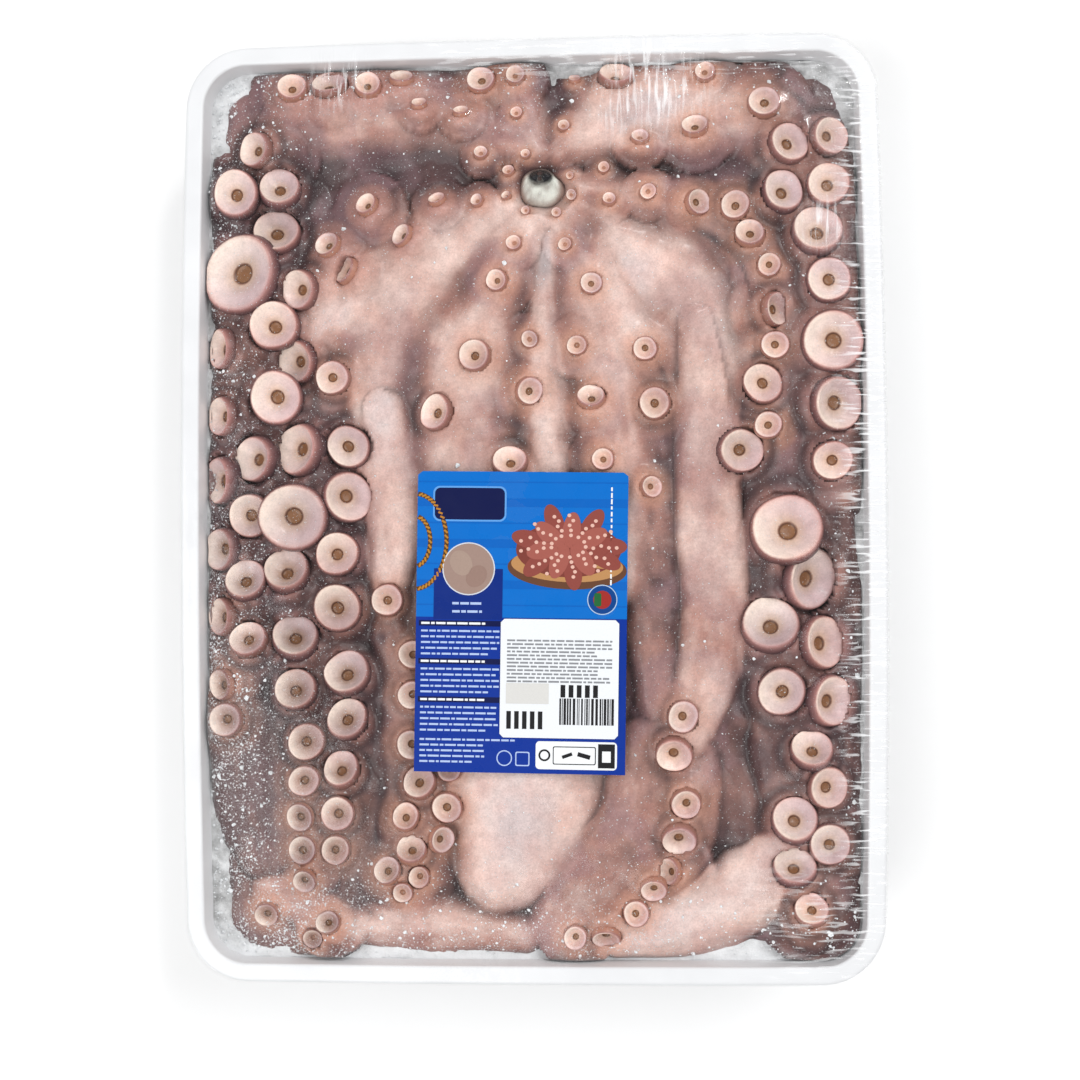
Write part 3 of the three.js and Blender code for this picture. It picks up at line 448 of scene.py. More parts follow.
def hollow_shade(x, y):
    """How much painted shade darkens the skin at each place; a value below zero is painted
    highlight.
    """
    dark = np.zeros(np.shape(x))
    for hx, hy, wide, long, turn, depth in HOLLOWS:
        cos, sin = math.cos(math.radians(turn)), math.sin(math.radians(turn))
        across = ((x - hx) * cos + (y - hy) * sin) / wide
        along = ((y - hy) * cos - (x - hx) * sin) / long
        dark += depth * np.exp(-across ** 2 - along ** 2)
    return dark


def flesh_height(x, y):
    """Height of the skin at any place, without its hollows and the suckers' stalks."""
    return flesh_fields(np.atleast_1d(np.asarray(x, float)), np.atleast_1d(np.asarray(y, float)))[0]


MAX_CUP_HEIGHT = 5.0
SUCKER_SINK = 0.4
STEEPEST = 1.2    # how far a sucker leans at most, as rise over run


def place_suckers():
    """Every sucker as a row of x, y, radius, seat height, cup height and facing direction."""
    draw = np.random.default_rng(41)
    x, y, wide, long, face_x, face_y, lean_x, lean_y = np.array([
        (*sucker, *row["faces"], *row["lean"]) for row in SUCKER_ROWS
        for sucker in row["suckers"]], dtype=float).T
    r = np.maximum(wide, long)
    over = np.clip(RIM_WIDTH + 2 + np.minimum(wide, 7) - inset_at(x, y), 0, 8)
    x -= over * np.sign(x) * (np.abs(x) > 110)
    y -= over * np.sign(y) * (np.abs(x) <= 110)
    nx = face_x * np.sqrt(np.clip((long / wide) ** 2 - 1, 0, 9)) + lean_x
    ny = face_y * np.sqrt(np.clip((wide / long) ** 2 - 1, 0, 9)) + lean_y
    nx = np.clip(nx, -STEEPEST, STEEPEST) + draw.uniform(-0.08, 0.08, len(x))
    ny = np.clip(ny, -STEEPEST, STEEPEST) + draw.uniform(-0.08, 0.08, len(x))
    tilt = np.hypot(nx, ny) / np.sqrt(1 + nx ** 2 + ny ** 2)
    cup = np.minimum(0.42 * r + 0.6, MAX_CUP_HEIGHT)
    stalk = np.interp(r, [2, 4, 7, 9], [1.8, 4.2, 3.6, 0.8]) + 0.45 * r * tilt
    stalk += 1.8 * np.clip((-x - 10) / 30, 0, 1) * np.clip((y - 80) / 30, 0, 1) * (r < 8)
    cover = film_limit(edge_distance(x, y) - 0.25 * r) - 0.5
    seat = np.minimum(flesh_height(x, y) - SUCKER_SINK + stalk,
                      cover - cup * 1.06 - 0.86 * r * tilt)
    for small in np.argsort(-r):
        away = np.hypot(x - x[small], y - y[small])
        overlap = np.where(r > r[small], r + r[small] - away, 0)
        overlap[small] = 0
        seat[small] -= min(0.9 * max(overlap.max(), 0), 4.5)
    return np.column_stack([x, y, r, seat, cup, nx, ny])


SUCKERS = place_suckers()
MOUTH_LEVEL = float(flesh_height(*MOUTH)[0])


def rounded_max(a, b, bend):
    """The larger of two heights, with the corner between them rounded."""
    return 0.5 * (a + b + np.sqrt((a - b) ** 2 + bend ** 2)) - 0.25 * bend


def lump_wave(angle):
    """How uneven the outline of the mouth's lump is."""
    return (1 + 0.08 * np.cos(2 * angle + 0.6) + 0.05 * np.cos(3 * angle + 1)
            + 0.03 * np.cos(5 * angle))


def body_fields(x, y):
    """The skin with its folds and the stalks of the suckers, for flat arrays of places."""
    height, tone, streak, fold, seam = flesh_fields(x, y)
    dents = rough_noise(x / 8, y / 8, 39, 2)
    hollow = hollow_shade(x, y)
    # Painted shade darkens the hollows, which also sink, and painted highlight lightens the rises.
    tone = tone - hollow
    height += 0.7 * fold + 0.4 * dents - 0.9 * seam - 4 * np.maximum(hollow, 0)
    collar = np.zeros_like(height)
    cone = np.zeros_like(height)
    groove = np.zeros_like(height)
    # Each sucker draws the skin up into a cone or a collar, with a groove round it.
    for sx, sy, r, seat, cup, nx, ny in SUCKERS:
        near = np.nonzero((np.abs(x - sx) < 3.4 * r) & (np.abs(y - sy) < 3.4 * r))[0]
        dx, dy = x[near] - sx, y[near] - sy
        d = np.hypot(dx, dy) / r
        plane = seat - nx * dx - ny * dy
        level = seat + (plane - seat) * np.clip(1.6 - 0.6 * d, 0, 1)
        fall = np.interp(r, [4, 9], [0.75, 0.8])
        fall = fall * (1 + 0.7 * (nx * dx + ny * dy) / (r * np.maximum(d, 0.3)))
        foot = np.clip(d - 0.95, 0, 3)
        skirt = level + 0.2 * cup - r * np.maximum(fall, 0.25) * foot / (1 + 0.2 * foot)
        bend = np.interp(r, [3, 7, 9], [2.4, 2.0, 0.6])
        raised = np.maximum(height[near], rounded_max(height[near], skirt, bend))
        height[near] = np.where(d < 3.2, raised, height[near])
        seam[near] *= np.clip(d - 1.2, 0, 1)
        crowd = np.interp(r, [5, 8], [0.0, 1.0]) * np.clip(1.6 - 2.4 * tone[near], 0, 1)
        height[near] -= crowd * 0.1 * r * np.exp(-((d - 1.5) / 0.22) ** 2)
        large = np.interp(r, [6, 9], [0.0, 1.0])
        collar[near] = np.maximum(collar[near], large * np.clip((1.75 - d) / 0.7, 0, 1))
        cone[near] = np.maximum(cone[near], (1 - large) * np.clip((2.3 - d) / 1.1, 0, 1))
        groove[near] = np.maximum(groove[near], crowd * np.exp(-((d - 1.45) / 0.3) ** 2))
    # Beneath the sucker itself the skin stays below the cup.
    for sx, sy, r, seat, cup, nx, ny in SUCKERS:
        near = np.nonzero((np.abs(x - sx) < 1.2 * r) & (np.abs(y - sy) < 1.2 * r))[0]
        rise = nx * (x[near] - sx) + ny * (y[near] - sy)
        away = np.sqrt((x[near] - sx) ** 2 + (y[near] - sy) ** 2 + rise ** 2) / r
        under = seat - rise + cup * np.where(away < 0.94, -0.62, 0.3)
        height[near] = np.where(away < 1.13, np.minimum(height[near], under), height[near])
    height = np.minimum(height, film_limit(edge_distance(x, y)) - 0.7)
    # The skin sinks below the lump of the mouth and rises again round it.
    away = np.hypot(x - LUMP[0], y - LUMP[1]) / MOUTH_RADIUS
    away /= lump_wave(np.arctan2(y - LUMP[1], x - LUMP[0]))
    brim = MOUTH_LEVEL + np.where(away < 0.97, -2.5, 12 * (away - 0.97) - 0.3)
    height = np.where(away < 1.6, np.minimum(height, brim), height)
    return height, tone, streak, collar, cone, groove, seam


# Helpers for modelling

def deselect():
    bpy.ops.object.select_all(action="DESELECT")


def pick(*pieces):
    """Selects these pieces alone and makes the first of them active."""
    deselect()
    for piece in pieces:
        piece.select_set(True)
    bpy.context.view_layer.objects.active = pieces[0]


def joined(pieces):
    """The pieces as one object."""
    pick(*pieces)
    bpy.ops.object.join()
    return bpy.context.object


def edit(piece):
    """Opens a piece in edit mode, with points as what is selected."""
    pick(piece)
    bpy.ops.object.mode_set(mode="EDIT")
    bpy.ops.mesh.select_mode(type="VERT")


def leave():
    """Goes back to object mode."""
    bpy.ops.object.mode_set(mode="OBJECT")


def face_outwards():
    """Turns every face of the piece being edited outwards, and leaves edit mode."""
    bpy.ops.mesh.select_all(action="SELECT")
    bpy.ops.mesh.normals_make_consistent(inside=False)
    leave()


def get_places(piece):
    """The piece's points in metres, one row each."""
    flat = np.empty(len(piece.data.vertices) * 3)
    piece.data.vertices.foreach_get("co", flat)
    return flat.reshape(-1, 3)


def set_places(piece, places):
    piece.data.vertices.foreach_set("co", np.ascontiguousarray(places, dtype=float).ravel())
    piece.data.update()


def get_selected(piece):
    """The numbers of the piece's selected points."""
    chosen = np.empty(len(piece.data.vertices), dtype=bool)
    piece.data.vertices.foreach_get("select", chosen)
    return np.nonzero(chosen)[0]


def paint(piece, name, colours):
    """Stores a linear colour for each point under a name that the materials read. A single
    number for a point is a grey."""
    if np.ndim(colours) == 1:
        colours = np.column_stack([colours] * 3)
    colours = np.column_stack([colours, np.ones(len(colours))])
    layer = piece.data.color_attributes.new(name=name, type="FLOAT_COLOR", domain="POINT")
    layer.data.foreach_set("color", np.ascontiguousarray(colours, dtype=np.float32).ravel())


def linear(r, g, b):
    """A colour seen on screen, 0 to 255, as linear light."""
    c = np.array([r, g, b]) / 255
    return np.where(c <= 0.04045, c / 12.92, ((c + 0.055) / 1.055) ** 2.4)


def smooth(piece, angle):
    """Shades a piece smooth, apart from edges sharper than an angle in degrees."""
    pick(piece)
    bpy.ops.object.shade_smooth_by_angle(angle=math.radians(angle))


def settle(piece, name, slot, *nodes):
    """Names a finished piece, ties it to the pack and hides its CAD nodes; the slot is not used."""
    piece.name = name
    piece.data.name = name
    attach(piece, "root")
    if nodes:
        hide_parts(*nodes)


def add_grid(columns, rows):
    """A new flat grid from -1 to 1 each way."""
    deselect()
    bpy.ops.mesh.primitive_grid_add(x_subdivisions=columns, y_subdivisions=rows, size=2)
    return bpy.context.object


def select_ring(shell, ring):
    """Selects one ring of a shell and returns where its points lie."""
    edit(shell)
    bpy.ops.mesh.select_all(action="DESELECT")
    leave()
    mark = np.zeros(len(shell.data.vertices), dtype=bool)
    mark[ring] = True
    shell.data.vertices.foreach_set("select", mark)
    ends = np.empty(len(shell.data.edges) * 2, dtype=int)
    shell.data.edges.foreach_get("vertices", ends)
    shell.data.edges.foreach_set("select", mark[ends.reshape(-1, 2)].all(axis=1))
    return get_places(shell)[ring]


def ring_shell(rings, loop=False):
    """A shell through rings of equal length, extruded one from the last. The ends are drawn
    together to a point, or the last ring is bridged to the first when it runs in a loop."""
    count = len(rings[0])
    deselect()
    bpy.ops.mesh.primitive_circle_add(vertices=count, radius=1, fill_type="NOTHING")
    shell = bpy.context.object
    set_places(shell, rings[0] * MM)
    ring = np.arange(count)
    for places in rings[1:]:
        before = select_ring(shell, ring)
        edit(shell)
        bpy.ops.mesh.extrude_region_move()
        leave()
        fresh = get_selected(shell)
        new = get_places(shell)
        order = np.array([np.argmin(((new[fresh] - p) ** 2).sum(axis=1)) for p in before])
        ring = fresh[order]
        new[ring] = places * MM
        set_places(shell, new)
    if loop:
        edit(shell)
        bpy.ops.mesh.select_all(action="DESELECT")
        bpy.ops.mesh.select_non_manifold()
        bpy.ops.mesh.bridge_edge_loops()
    else:
        for end in (ring, np.arange(count)):
            select_ring(shell, end)
            edit(shell)
            bpy.ops.mesh.extrude_region_move()
            bpy.ops.mesh.merge(type="CENTER")
            leave()
        edit(shell)
    face_outwards()
    return shell


def extrude_border(sheet):
    """Extrudes the border of a sheet and stays in edit mode, with the new points selected."""
    edit(sheet)
    bpy.ops.mesh.select_all(action="DESELECT")
    bpy.ops.mesh.select_non_manifold()
    bpy.ops.mesh.extrude_region_move()


def fold_down(sheet, across, along, height):
    """Extrudes a sheet's border once: across and along scale it and height is where it goes."""
    extrude_border(sheet)
    leave()
    fresh = get_selected(sheet)
    places = get_places(sheet)
    places[fresh, 0] *= across
    places[fresh, 1] *= along
    places[fresh, 2] = height * MM
    set_places(sheet, places)


# Materials

class Finish:
    """A node material with short ways to add its textures."""

    def __init__(self, name):
        self.material = bpy.data.materials.new(name)
        self.material.use_nodes = True
        self.nodes = self.material.node_tree.nodes
        self.links = self.material.node_tree.links
        self.shader = self.nodes["Principled BSDF"]
        self.place = self.nodes.new("ShaderNodeTexCoord").outputs["Object"]

    def plain(self, **values):
        """Sets the shader's own values, with _ for a blank in their names."""
        for name, value in values.items():
            self.shader.inputs[name.replace("_", " ")].default_value = value

    def link(self, source, target):
        """Joins a source to one of the shader's sockets, by its name."""
        self.links.new(source, self.shader.inputs[target])

    def stretched(self, scale, turn=0.0):
        """Places scaled along each axis, after a turn in radians about Z."""
        node = self.nodes.new("ShaderNodeMapping")
        node.inputs["Scale"].default_value = scale
        node.inputs["Rotation"].default_value = (0, 0, turn)
        self.links.new(self.place, node.inputs["Vector"])
        return node.outputs["Vector"]

    def noise(self, size, detail, rough=0.5, vector=None):
        """Noise whose features are about size millimetres across."""
        node = self.nodes.new("ShaderNodeTexNoise")
        node.inputs["Scale"].default_value = 1 / (size * MM)
        node.inputs["Detail"].default_value = detail
        node.inputs["Roughness"].default_value = rough
        self.links.new(vector or self.place, node.inputs["Vector"])
        return node.outputs["Fac"]

    def ramp(self, value, stops):
        """A value as a colour: each stop is a place and a grey or a colour seen on screen."""
        node = self.nodes.new("ShaderNodeValToRGB")
        ends = node.color_ramp.elements
        while len(ends) < len(stops):
            ends.new(0.5)
        for end, (at, colour) in zip(ends, stops):
            end.position = at
            end.color = (*linear(*colour), 1) if isinstance(colour, tuple) else (colour,) * 3 + (1,)
        self.links.new(value, node.inputs["Fac"])
        return node.outputs["Color"]

    def span(self, value, low, high, to_low, to_high):
        """A value moved from one range to another and kept inside it."""
        node = self.nodes.new("ShaderNodeMapRange")
        for name, number in zip(("From Min", "From Max", "To Min", "To Max"),
                                (low, high, to_low, to_high)):
            node.inputs[name].default_value = number
        self.links.new(value, node.inputs["Value"])
        return node.outputs["Result"]

    def combine(self, a, b, kind):
        """Two values, each a socket or a number, worked into one."""
        node = self.nodes.new("ShaderNodeMath")
        node.operation = kind
        for socket, value in zip(node.inputs, (a, b)):
            if isinstance(value, (int, float)):
                socket.default_value = value
            else:
                self.links.new(value, socket)
        return node.outputs["Value"]

    def blend(self, factor, a, b, kind="MIX"):
        """Two colours mixed by a factor: sockets, or colours seen on screen."""
        node = self.nodes.new("ShaderNodeMix")
        node.data_type = "RGBA"
        node.blend_type = kind
        for socket, value in zip((node.inputs[0], node.inputs[6], node.inputs[7]), (factor, a, b)):
            if isinstance(value, (int, float)):
                socket.default_value = value
            elif isinstance(value, tuple):
                socket.default_value = (*linear(*value), 1)
            else:
                self.links.new(value, socket)
        return node.outputs[2]

    def painted(self, name):
        """The colour or number stored on the points under a name."""
        node = self.nodes.new("ShaderNodeAttribute")
        node.attribute_name = name
        return node

    def bump(self, height, depth, before=None):
        """Relief depth millimetres high."""
        node = self.nodes.new("ShaderNodeBump")
        node.inputs["Distance"].default_value = depth * MM
        self.links.new(height, node.inputs["Height"])
        if before is not None:
            self.links.new(before, node.inputs["Normal"])
        return node.outputs["Normal"]


def dress(piece, finish):
    piece.data.materials.clear()
    piece.data.materials.append(finish.material)


def wet_flesh(name, rough, fold_depth, evenness=0.0):
    """Octopus skin or sucker flesh: painted colour, fine mottling, pores and a wet sheen."""
    look = Finish(name)
    painted = look.painted("Flesh").outputs["Color"]
    low, fine = 0.85 + 0.09 * evenness, 0.88 + 0.05 * evenness
    mottle = look.ramp(look.noise(3.2, 4, 0.66), [(0.34, low), (0.64, 1.0)])
    specks = look.ramp(look.noise(0.8, 2, 0.65), [(0.34, fine), (0.62, 1.0)])
    colour = look.blend(1.0, painted, mottle, "MULTIPLY")
    colour = look.blend(1.0, colour, specks, "MULTIPLY")
    cover = look.painted("Rime").outputs["Fac"]
    grain = look.combine(look.noise(0.9, 2, 0.7), look.combine(cover, 0.15, "MULTIPLY"), "ADD")
    grain = look.span(grain, 0.66, 0.71, 0, 0.85)
    colour = look.blend(grain, colour, (228, 230, 232))
    look.link(colour, "Base Color")
    folds = look.noise(2.3, 3, 0.6)
    look.link(look.span(folds, 0.3, 0.7, rough - 0.08, rough + 0.14), "Roughness")
    normal = look.bump(grain, 0.15, look.bump(folds, fold_depth))
    look.link(normal, "Normal")
    look.plain(Coat_Weight=0.2, Coat_Roughness=0.16, IOR=1.34)
    return look


def frosty_ice():
    """Cloudy grey ice with crumbs, white where frost is painted on it."""
    look = Finish("frosty_ice")
    cloud = look.noise(7, 4, 0.6)
    crumbs = look.noise(1.3, 4, 0.65)
    glazed = look.ramp(cloud, [(0.3, (140, 140, 140)), (0.7, (228, 229, 230))])
    white = look.painted("Rime").outputs["Fac"]
    look.link(look.blend(white, glazed, (236, 238, 240)), "Base Color")
    look.link(look.span(crumbs, 0.3, 0.7, 0.25, 0.6), "Roughness")
    look.link(look.bump(crumbs, 0.5, look.bump(cloud, 0.8)), "Normal")
    look.plain(IOR=1.31)
    return look


def frost_flakes():
    """Loose white frost."""
    look = Finish("frost_flakes")
    look.link(look.ramp(look.noise(0.8, 2), [(0.3, (196, 200, 202)),
                                             (0.7, (240, 242, 244))]), "Base Color")
    look.plain(Roughness=0.35, IOR=1.31)
    look.link(look.bump(look.noise(0.3, 2), 0.05), "Normal")
    return look


def tray_plastic():
    """White moulded plastic, slightly wavy and grained."""
    look = Finish("tray_plastic")
    look.link(look.ramp(look.noise(30, 3), [(0.3, (217, 218, 220)),
                                            (0.7, (225, 226, 228))]), "Base Color")
    look.link(look.span(look.noise(12, 3), 0.3, 0.7, 0.3, 0.42), "Roughness")
    look.link(look.bump(look.noise(0.6, 2), 0.01, look.bump(look.noise(22, 2), 0.12)), "Normal")
    look.plain(IOR=1.48)
    return look


def dark_horn():
    """Dark wet horn, grained along the jaws."""
    look = Finish("dark_horn")
    grain = look.noise(0.5, 3, vector=look.stretched((1, 1, 0.3)))
    look.link(look.ramp(grain, [(0.3, (18, 20, 26)),
                                (0.75, (52, 44, 42))]), "Base Color")
    look.plain(Roughness=0.18, Coat_Weight=0.6, Coat_Roughness=0.08, IOR=1.55)
    look.link(look.bump(grain, 0.03), "Normal")
    return look


def clear_film():
    """Thin clear film: seen through, with a glossy face that catches the lights, milky where it is
    creased, partly its own haze and partly painted glints, and white where glare is painted."""
    look = Finish("clear_film")
    nodes, links = look.nodes, look.links
    nodes.remove(look.shader)

    def mixed(share, first, second):
        mix = nodes.new("ShaderNodeMixShader")
        for socket, source in zip(mix.inputs, (share, first.outputs[0], second.outputs[0])):
            links.new(source, socket)
        return mix

    split = nodes.new("ShaderNodeSeparateColor")
    links.new(look.painted("CreaseAndGlare").outputs["Color"], split.inputs["Color"])
    lines = look.noise(1.5, 1, vector=look.stretched((0.13, 1.0, 0.3)))
    creases = look.combine(look.span(lines, 0.56, 0.64, 0, 1), split.outputs["Red"], "MULTIPLY")
    smear = look.noise(1.6, 1, 0.6, vector=look.stretched((1.0, 0.12, 0.3), 0.8))
    glare = look.combine(look.span(smear, 0.5, 0.66, 0, 1), split.outputs["Green"], "MULTIPLY")
    # The creases together with the patches of painted glare.
    gathered = look.combine(creases, glare, "MAXIMUM")
    waves = look.bump(look.noise(9, 1), 0.16, look.bump(gathered, 0.3))
    normal = look.bump(look.noise(2.0, 2), 0.035, waves)

    through = nodes.new("ShaderNodeBsdfTransparent")
    through.inputs["Color"].default_value = (0.985, 0.985, 0.985, 1)
    gloss = nodes.new("ShaderNodeBsdfGlossy")
    gloss.inputs["Roughness"].default_value = 0.07
    gloss.inputs["Color"].default_value = (1, 1, 1, 1)
    milky = nodes.new("ShaderNodeBsdfDiffuse")
    milky.inputs["Color"].default_value = (0.95, 0.96, 0.97, 1)
    fresnel = nodes.new("ShaderNodeFresnel")
    fresnel.inputs["IOR"].default_value = 1.5
    for node in (gloss, milky, fresnel):
        links.new(normal, node.inputs["Normal"])
    shine = look.combine(fresnel.outputs["Fac"], 0.4, "MULTIPLY")
    clear = mixed(look.combine(shine, 0.12, "MINIMUM"), through, gloss)
    # White diffuse over the creases, partly their haze and partly painted glints, and over painted
    # glare.
    wrapped = mixed(look.combine(gathered, 0.6, "MULTIPLY"), clear, milky)
    links.new(wrapped.outputs[0], nodes["Material Output"].inputs["Surface"])
    return look


def coated_paper(name, rough):
    """Printed paper under a thin varnish: painted colour, a trace of fibre and of handling."""
    look = Finish(name)
    painted = look.painted("Print").outputs["Color"]
    fibre = look.ramp(look.noise(0.5, 3), [(0.3, 0.96), (0.7, 1.02)])
    look.link(look.blend(1.0, painted, fibre, "MULTIPLY"), "Base Color")
    look.link(look.span(look.noise(9, 3), 0.3, 0.7, rough - 0.06, rough + 0.1), "Roughness")
    look.link(look.bump(look.noise(6, 2), 0.05, look.bump(look.noise(0.35, 2), 0.006)), "Normal")
    look.plain(IOR=1.25)
    return look


# Pieces

def quarter_turn(steps):
    """The sine and cosine of each angle that parts a quarter turn into steps."""
    for k in range(1, steps):
        angle = k / steps * math.pi / 2
        yield math.sin(angle), math.cos(angle)


def tray_section():
    """Section of the tray from the middle of its underside, out round its rim and back to the
    middle of its floor: insets from the edge of the pack, and heights."""
    floor_top = TRAY_BASE + WALL
    under_rim = RIM_HEIGHT - WALL
    outer_foot = RIM_WIDTH + WALL_DRAFT - WALL
    outer_top = RIM_WIDTH - WALL
    inner_foot = RIM_WIDTH + WALL_DRAFT
    slant = 0.6
    section = [(outer_foot + 40, TRAY_BASE + FOOT_RECESS),
               (outer_foot + 16, TRAY_BASE + FOOT_RECESS),
               (outer_foot + 14, TRAY_BASE), (outer_foot + FOOT_RADIUS, TRAY_BASE)]
    section += [(outer_foot - slant + (FOOT_RADIUS + slant) * (1 - sine),
                 TRAY_BASE + FOOT_RADIUS * (1 - cosine)) for sine, cosine in quarter_turn(6)]
    section += [(outer_foot - slant, TRAY_BASE + FOOT_RADIUS),
                (outer_top + 0.5, under_rim - 1.5), (outer_top, under_rim - 0.3),
                (outer_top - 0.6, under_rim), (RIM_EDGE + WALL, under_rim),
                (RIM_EDGE + 1.3, under_rim - 0.6), (RIM_EDGE + 1.2, RIM_HEIGHT - RIM_LIP),
                (RIM_EDGE, RIM_HEIGHT - RIM_LIP), (RIM_EDGE, RIM_HEIGHT - OUTER_ROUND)]
    section += [(RIM_EDGE + OUTER_ROUND * (1 - cosine), RIM_HEIGHT - OUTER_ROUND * (1 - sine))
                for sine, cosine in quarter_turn(4)]
    section += [(RIM_EDGE + OUTER_ROUND, RIM_HEIGHT), (4.2, RIM_HEIGHT - 0.25),
                (RIM_WIDTH - INNER_ROUND, RIM_HEIGHT)]
    section += [(RIM_WIDTH - INNER_ROUND * (1 - sine), RIM_HEIGHT - INNER_ROUND * (1 - cosine))
                for sine, cosine in quarter_turn(4)]
    section += [(RIM_WIDTH, RIM_HEIGHT - INNER_ROUND),
                (inner_foot - slant, floor_top + FOOT_RADIUS),
                (inner_foot + 0.5, floor_top + 2.6), (inner_foot + 2, floor_top + 1),
                (inner_foot + FOOT_RADIUS, floor_top), (inner_foot + 60, floor_top)]
    return section


def build_tray(settings):
    """The open tray, turned out round its rim, as one closed shell."""
    tray = ring_shell([ring_at(inset, height) for inset, height in tray_section()])
    smooth(tray, 35)
    dress(tray, tray_plastic())
    settle(tray, "tray_shell", "tray_plastic", "tray")


def build_ice(settings):
    """Glaze ice packed between the octopus and the tray's wall, rough on top."""
    foot = TRAY_BASE + WALL + FOOT_RADIUS + 0.4
    profile = [(15.2, foot), (13.6, 20), (11.6, 36), (10.0, ICE_LEVEL - 3), (9.5, ICE_LEVEL - 1),
               (10.3, ICE_LEVEL - 0.6), (11.8, ICE_LEVEL - 1.1), (13.6, ICE_LEVEL - 0.8),
               (15.5, ICE_LEVEL - 1.4), (17.5, ICE_LEVEL - 1.2), (19.5, ICE_LEVEL - 2.0),
               (21.5, ICE_LEVEL - 3.5), (23, 40), (23, foot)]
    rings = []
    for k, (inset, z) in enumerate(profile):
        ring = ring_at(inset, z, 2, max(CORNER_RADIUS - inset, 8))
        x, y = ring[:, 0], ring[:, 1]
        for sx, sy, r, seat, cup, nx, ny in SUCKERS:
            rise = nx * (x - sx) + ny * (y - sy)
            covered = np.hypot(x - sx, y - sy) < 1.05 * r
            ring[covered, 2] = np.minimum(ring[covered, 2], (seat - rise - 0.8 * cup)[covered])
        if 4 < k < 12:
            ring[:, 2] += (1.0 * rough_noise(x / 9, y / 9, 61)
                           + 0.7 * soft_noise(x / 2.6, y / 2.6, 62) - 0.3)
            ring[:, 2] = np.minimum(ring[:, 2], ICE_LEVEL - 0.1)
        rings.append(ring)
    ice = ring_shell(rings, loop=True)
    x, y, z = get_places(ice).T / MM
    white = np.exp(-((x + 124) ** 2 + (y - 178) ** 2) / 700) + np.clip((-y - 172) / 14, 0, 1)
    white = np.clip(white * (0.8 + 0.5 * rough_noise(x / 6, y / 6, 63)), 0, 0.9)
    paint(ice, "Rime", white)
    smooth(ice, 70)
    dress(ice, frosty_ice())
    settle(ice, "ice_frost", "ice", "ice")


def lerp(a, b, share):
    """Rows of colours a, with the share of colour b that each one gets."""
    share = np.asarray(share)[..., None]
    return a * (1 - share) + b * share


# Skin colours besides those that the panel sets, as seen on screen; groove, seam and sunken are
# painted shade
SILVER_SKIN = (205, 190, 190)
LILAC_SKIN = (150, 116, 122)
COLLAR_SKIN = (160, 112, 104)
CONE_SKIN = (214, 158, 134)
MAUVE_CONE_SKIN = (178, 132, 128)
GROOVE_SHADE = (56, 38, 42)
SEAM_SHADE = (52, 36, 38)
SUNKEN_SHADE = (40, 29, 32)
RIMED_SKIN = (176, 176, 176)
HUE_SHIFT = np.array([1.0, 0.88, 0.85])


def flesh_colours(settings, x, y, tone, streak, sunk, collar, cone, groove, seam):
    """Skin colour at each place: mauve brown to pale, streaked along the arm, painted shade in the
    gaps.
    """
    dark = np.array(settings.dark_skin[:3])
    middle = np.array(settings.middle_skin[:3])
    pale = np.array(settings.pale_skin[:3])
    cloud = rough_noise(x / 13, y / 13, 72)
    calm = 1 - 0.5 * np.clip(2 * tone - 0.9, 0, 1)
    mix = np.clip(tone + (0.2 * streak + 0.22 * cloud) * calm, 0, 1)
    colour = lerp(dark, middle, np.clip(mix * 2, 0, 1))
    colour = lerp(colour, pale, np.clip(mix * 2 - 1, 0, 1))
    colour = lerp(colour, linear(*SILVER_SKIN), np.clip((tone - 0.85) / 0.15, 0, 1) * 0.8)
    hue = rough_noise(x / 7, y / 7, 73)
    colour = lerp(colour, colour * HUE_SHIFT, np.clip(0.3 + 0.9 * hue, 0, 0.8))
    lilac = np.clip(1.6 * rough_noise(x / 18, y / 18, 77), 0, 0.4) * np.clip(1.7 - 1.4 * tone, 0, 1)
    lilac *= 1 - 0.7 * np.clip((-x - 20) / 40, 0, 1) * np.clip((-y - 30) / 60, 0, 1)
    colour = lerp(colour, linear(*LILAC_SKIN), lilac)
    colour = lerp(colour, linear(*COLLAR_SKIN), 0.5 * collar * (1 - 0.5 * groove))
    colour = lerp(colour, linear(*CONE_SKIN), 0.6 * cone)
    mauve_end = np.clip((-x - 10) / 30, 0, 1) * np.clip((y - 80) / 30, 0, 1)
    colour = lerp(colour, linear(*MAUVE_CONE_SKIN), 0.6 * cone * mauve_end)
    # Painted shade in the grooves round the suckers, in the seams between limbs and in sunken
    # places.
    colour = lerp(colour, linear(*GROOVE_SHADE), 0.85 * groove * (1 - 0.4 * tone))
    colour = lerp(colour, linear(*SEAM_SHADE), 0.75 * seam)
    colour = lerp(colour, linear(*SUNKEN_SHADE), np.clip(sunk / 4.5, 0, 1) ** 1.1 * 0.85)
    inside = edge_distance(x, y)
    frosty = np.clip((9 - inside) / 9, 0, 1)
    frosty = np.clip(frosty + 0.6 * rough_noise(x / 6, y / 6, 74) - 0.6, 0, 0.4)
    colour = lerp(colour, linear(*RIMED_SKIN), frosty)
    return np.clip(colour, 0, 1)


def blurred(values, reach):
    """A grid of heights averaged over a square reach cells each way."""
    size = 2 * reach + 1
    for axis in (0, 1):
        pad = [(reach + 1, reach) if k == axis else (0, 0) for k in (0, 1)]
        sums = np.cumsum(np.pad(values, pad, mode="edge"), axis=axis)
        values = (np.take(sums, range(size, sums.shape[axis]), axis)
                  - np.take(sums, range(sums.shape[axis] - size), axis)) / size
    return values


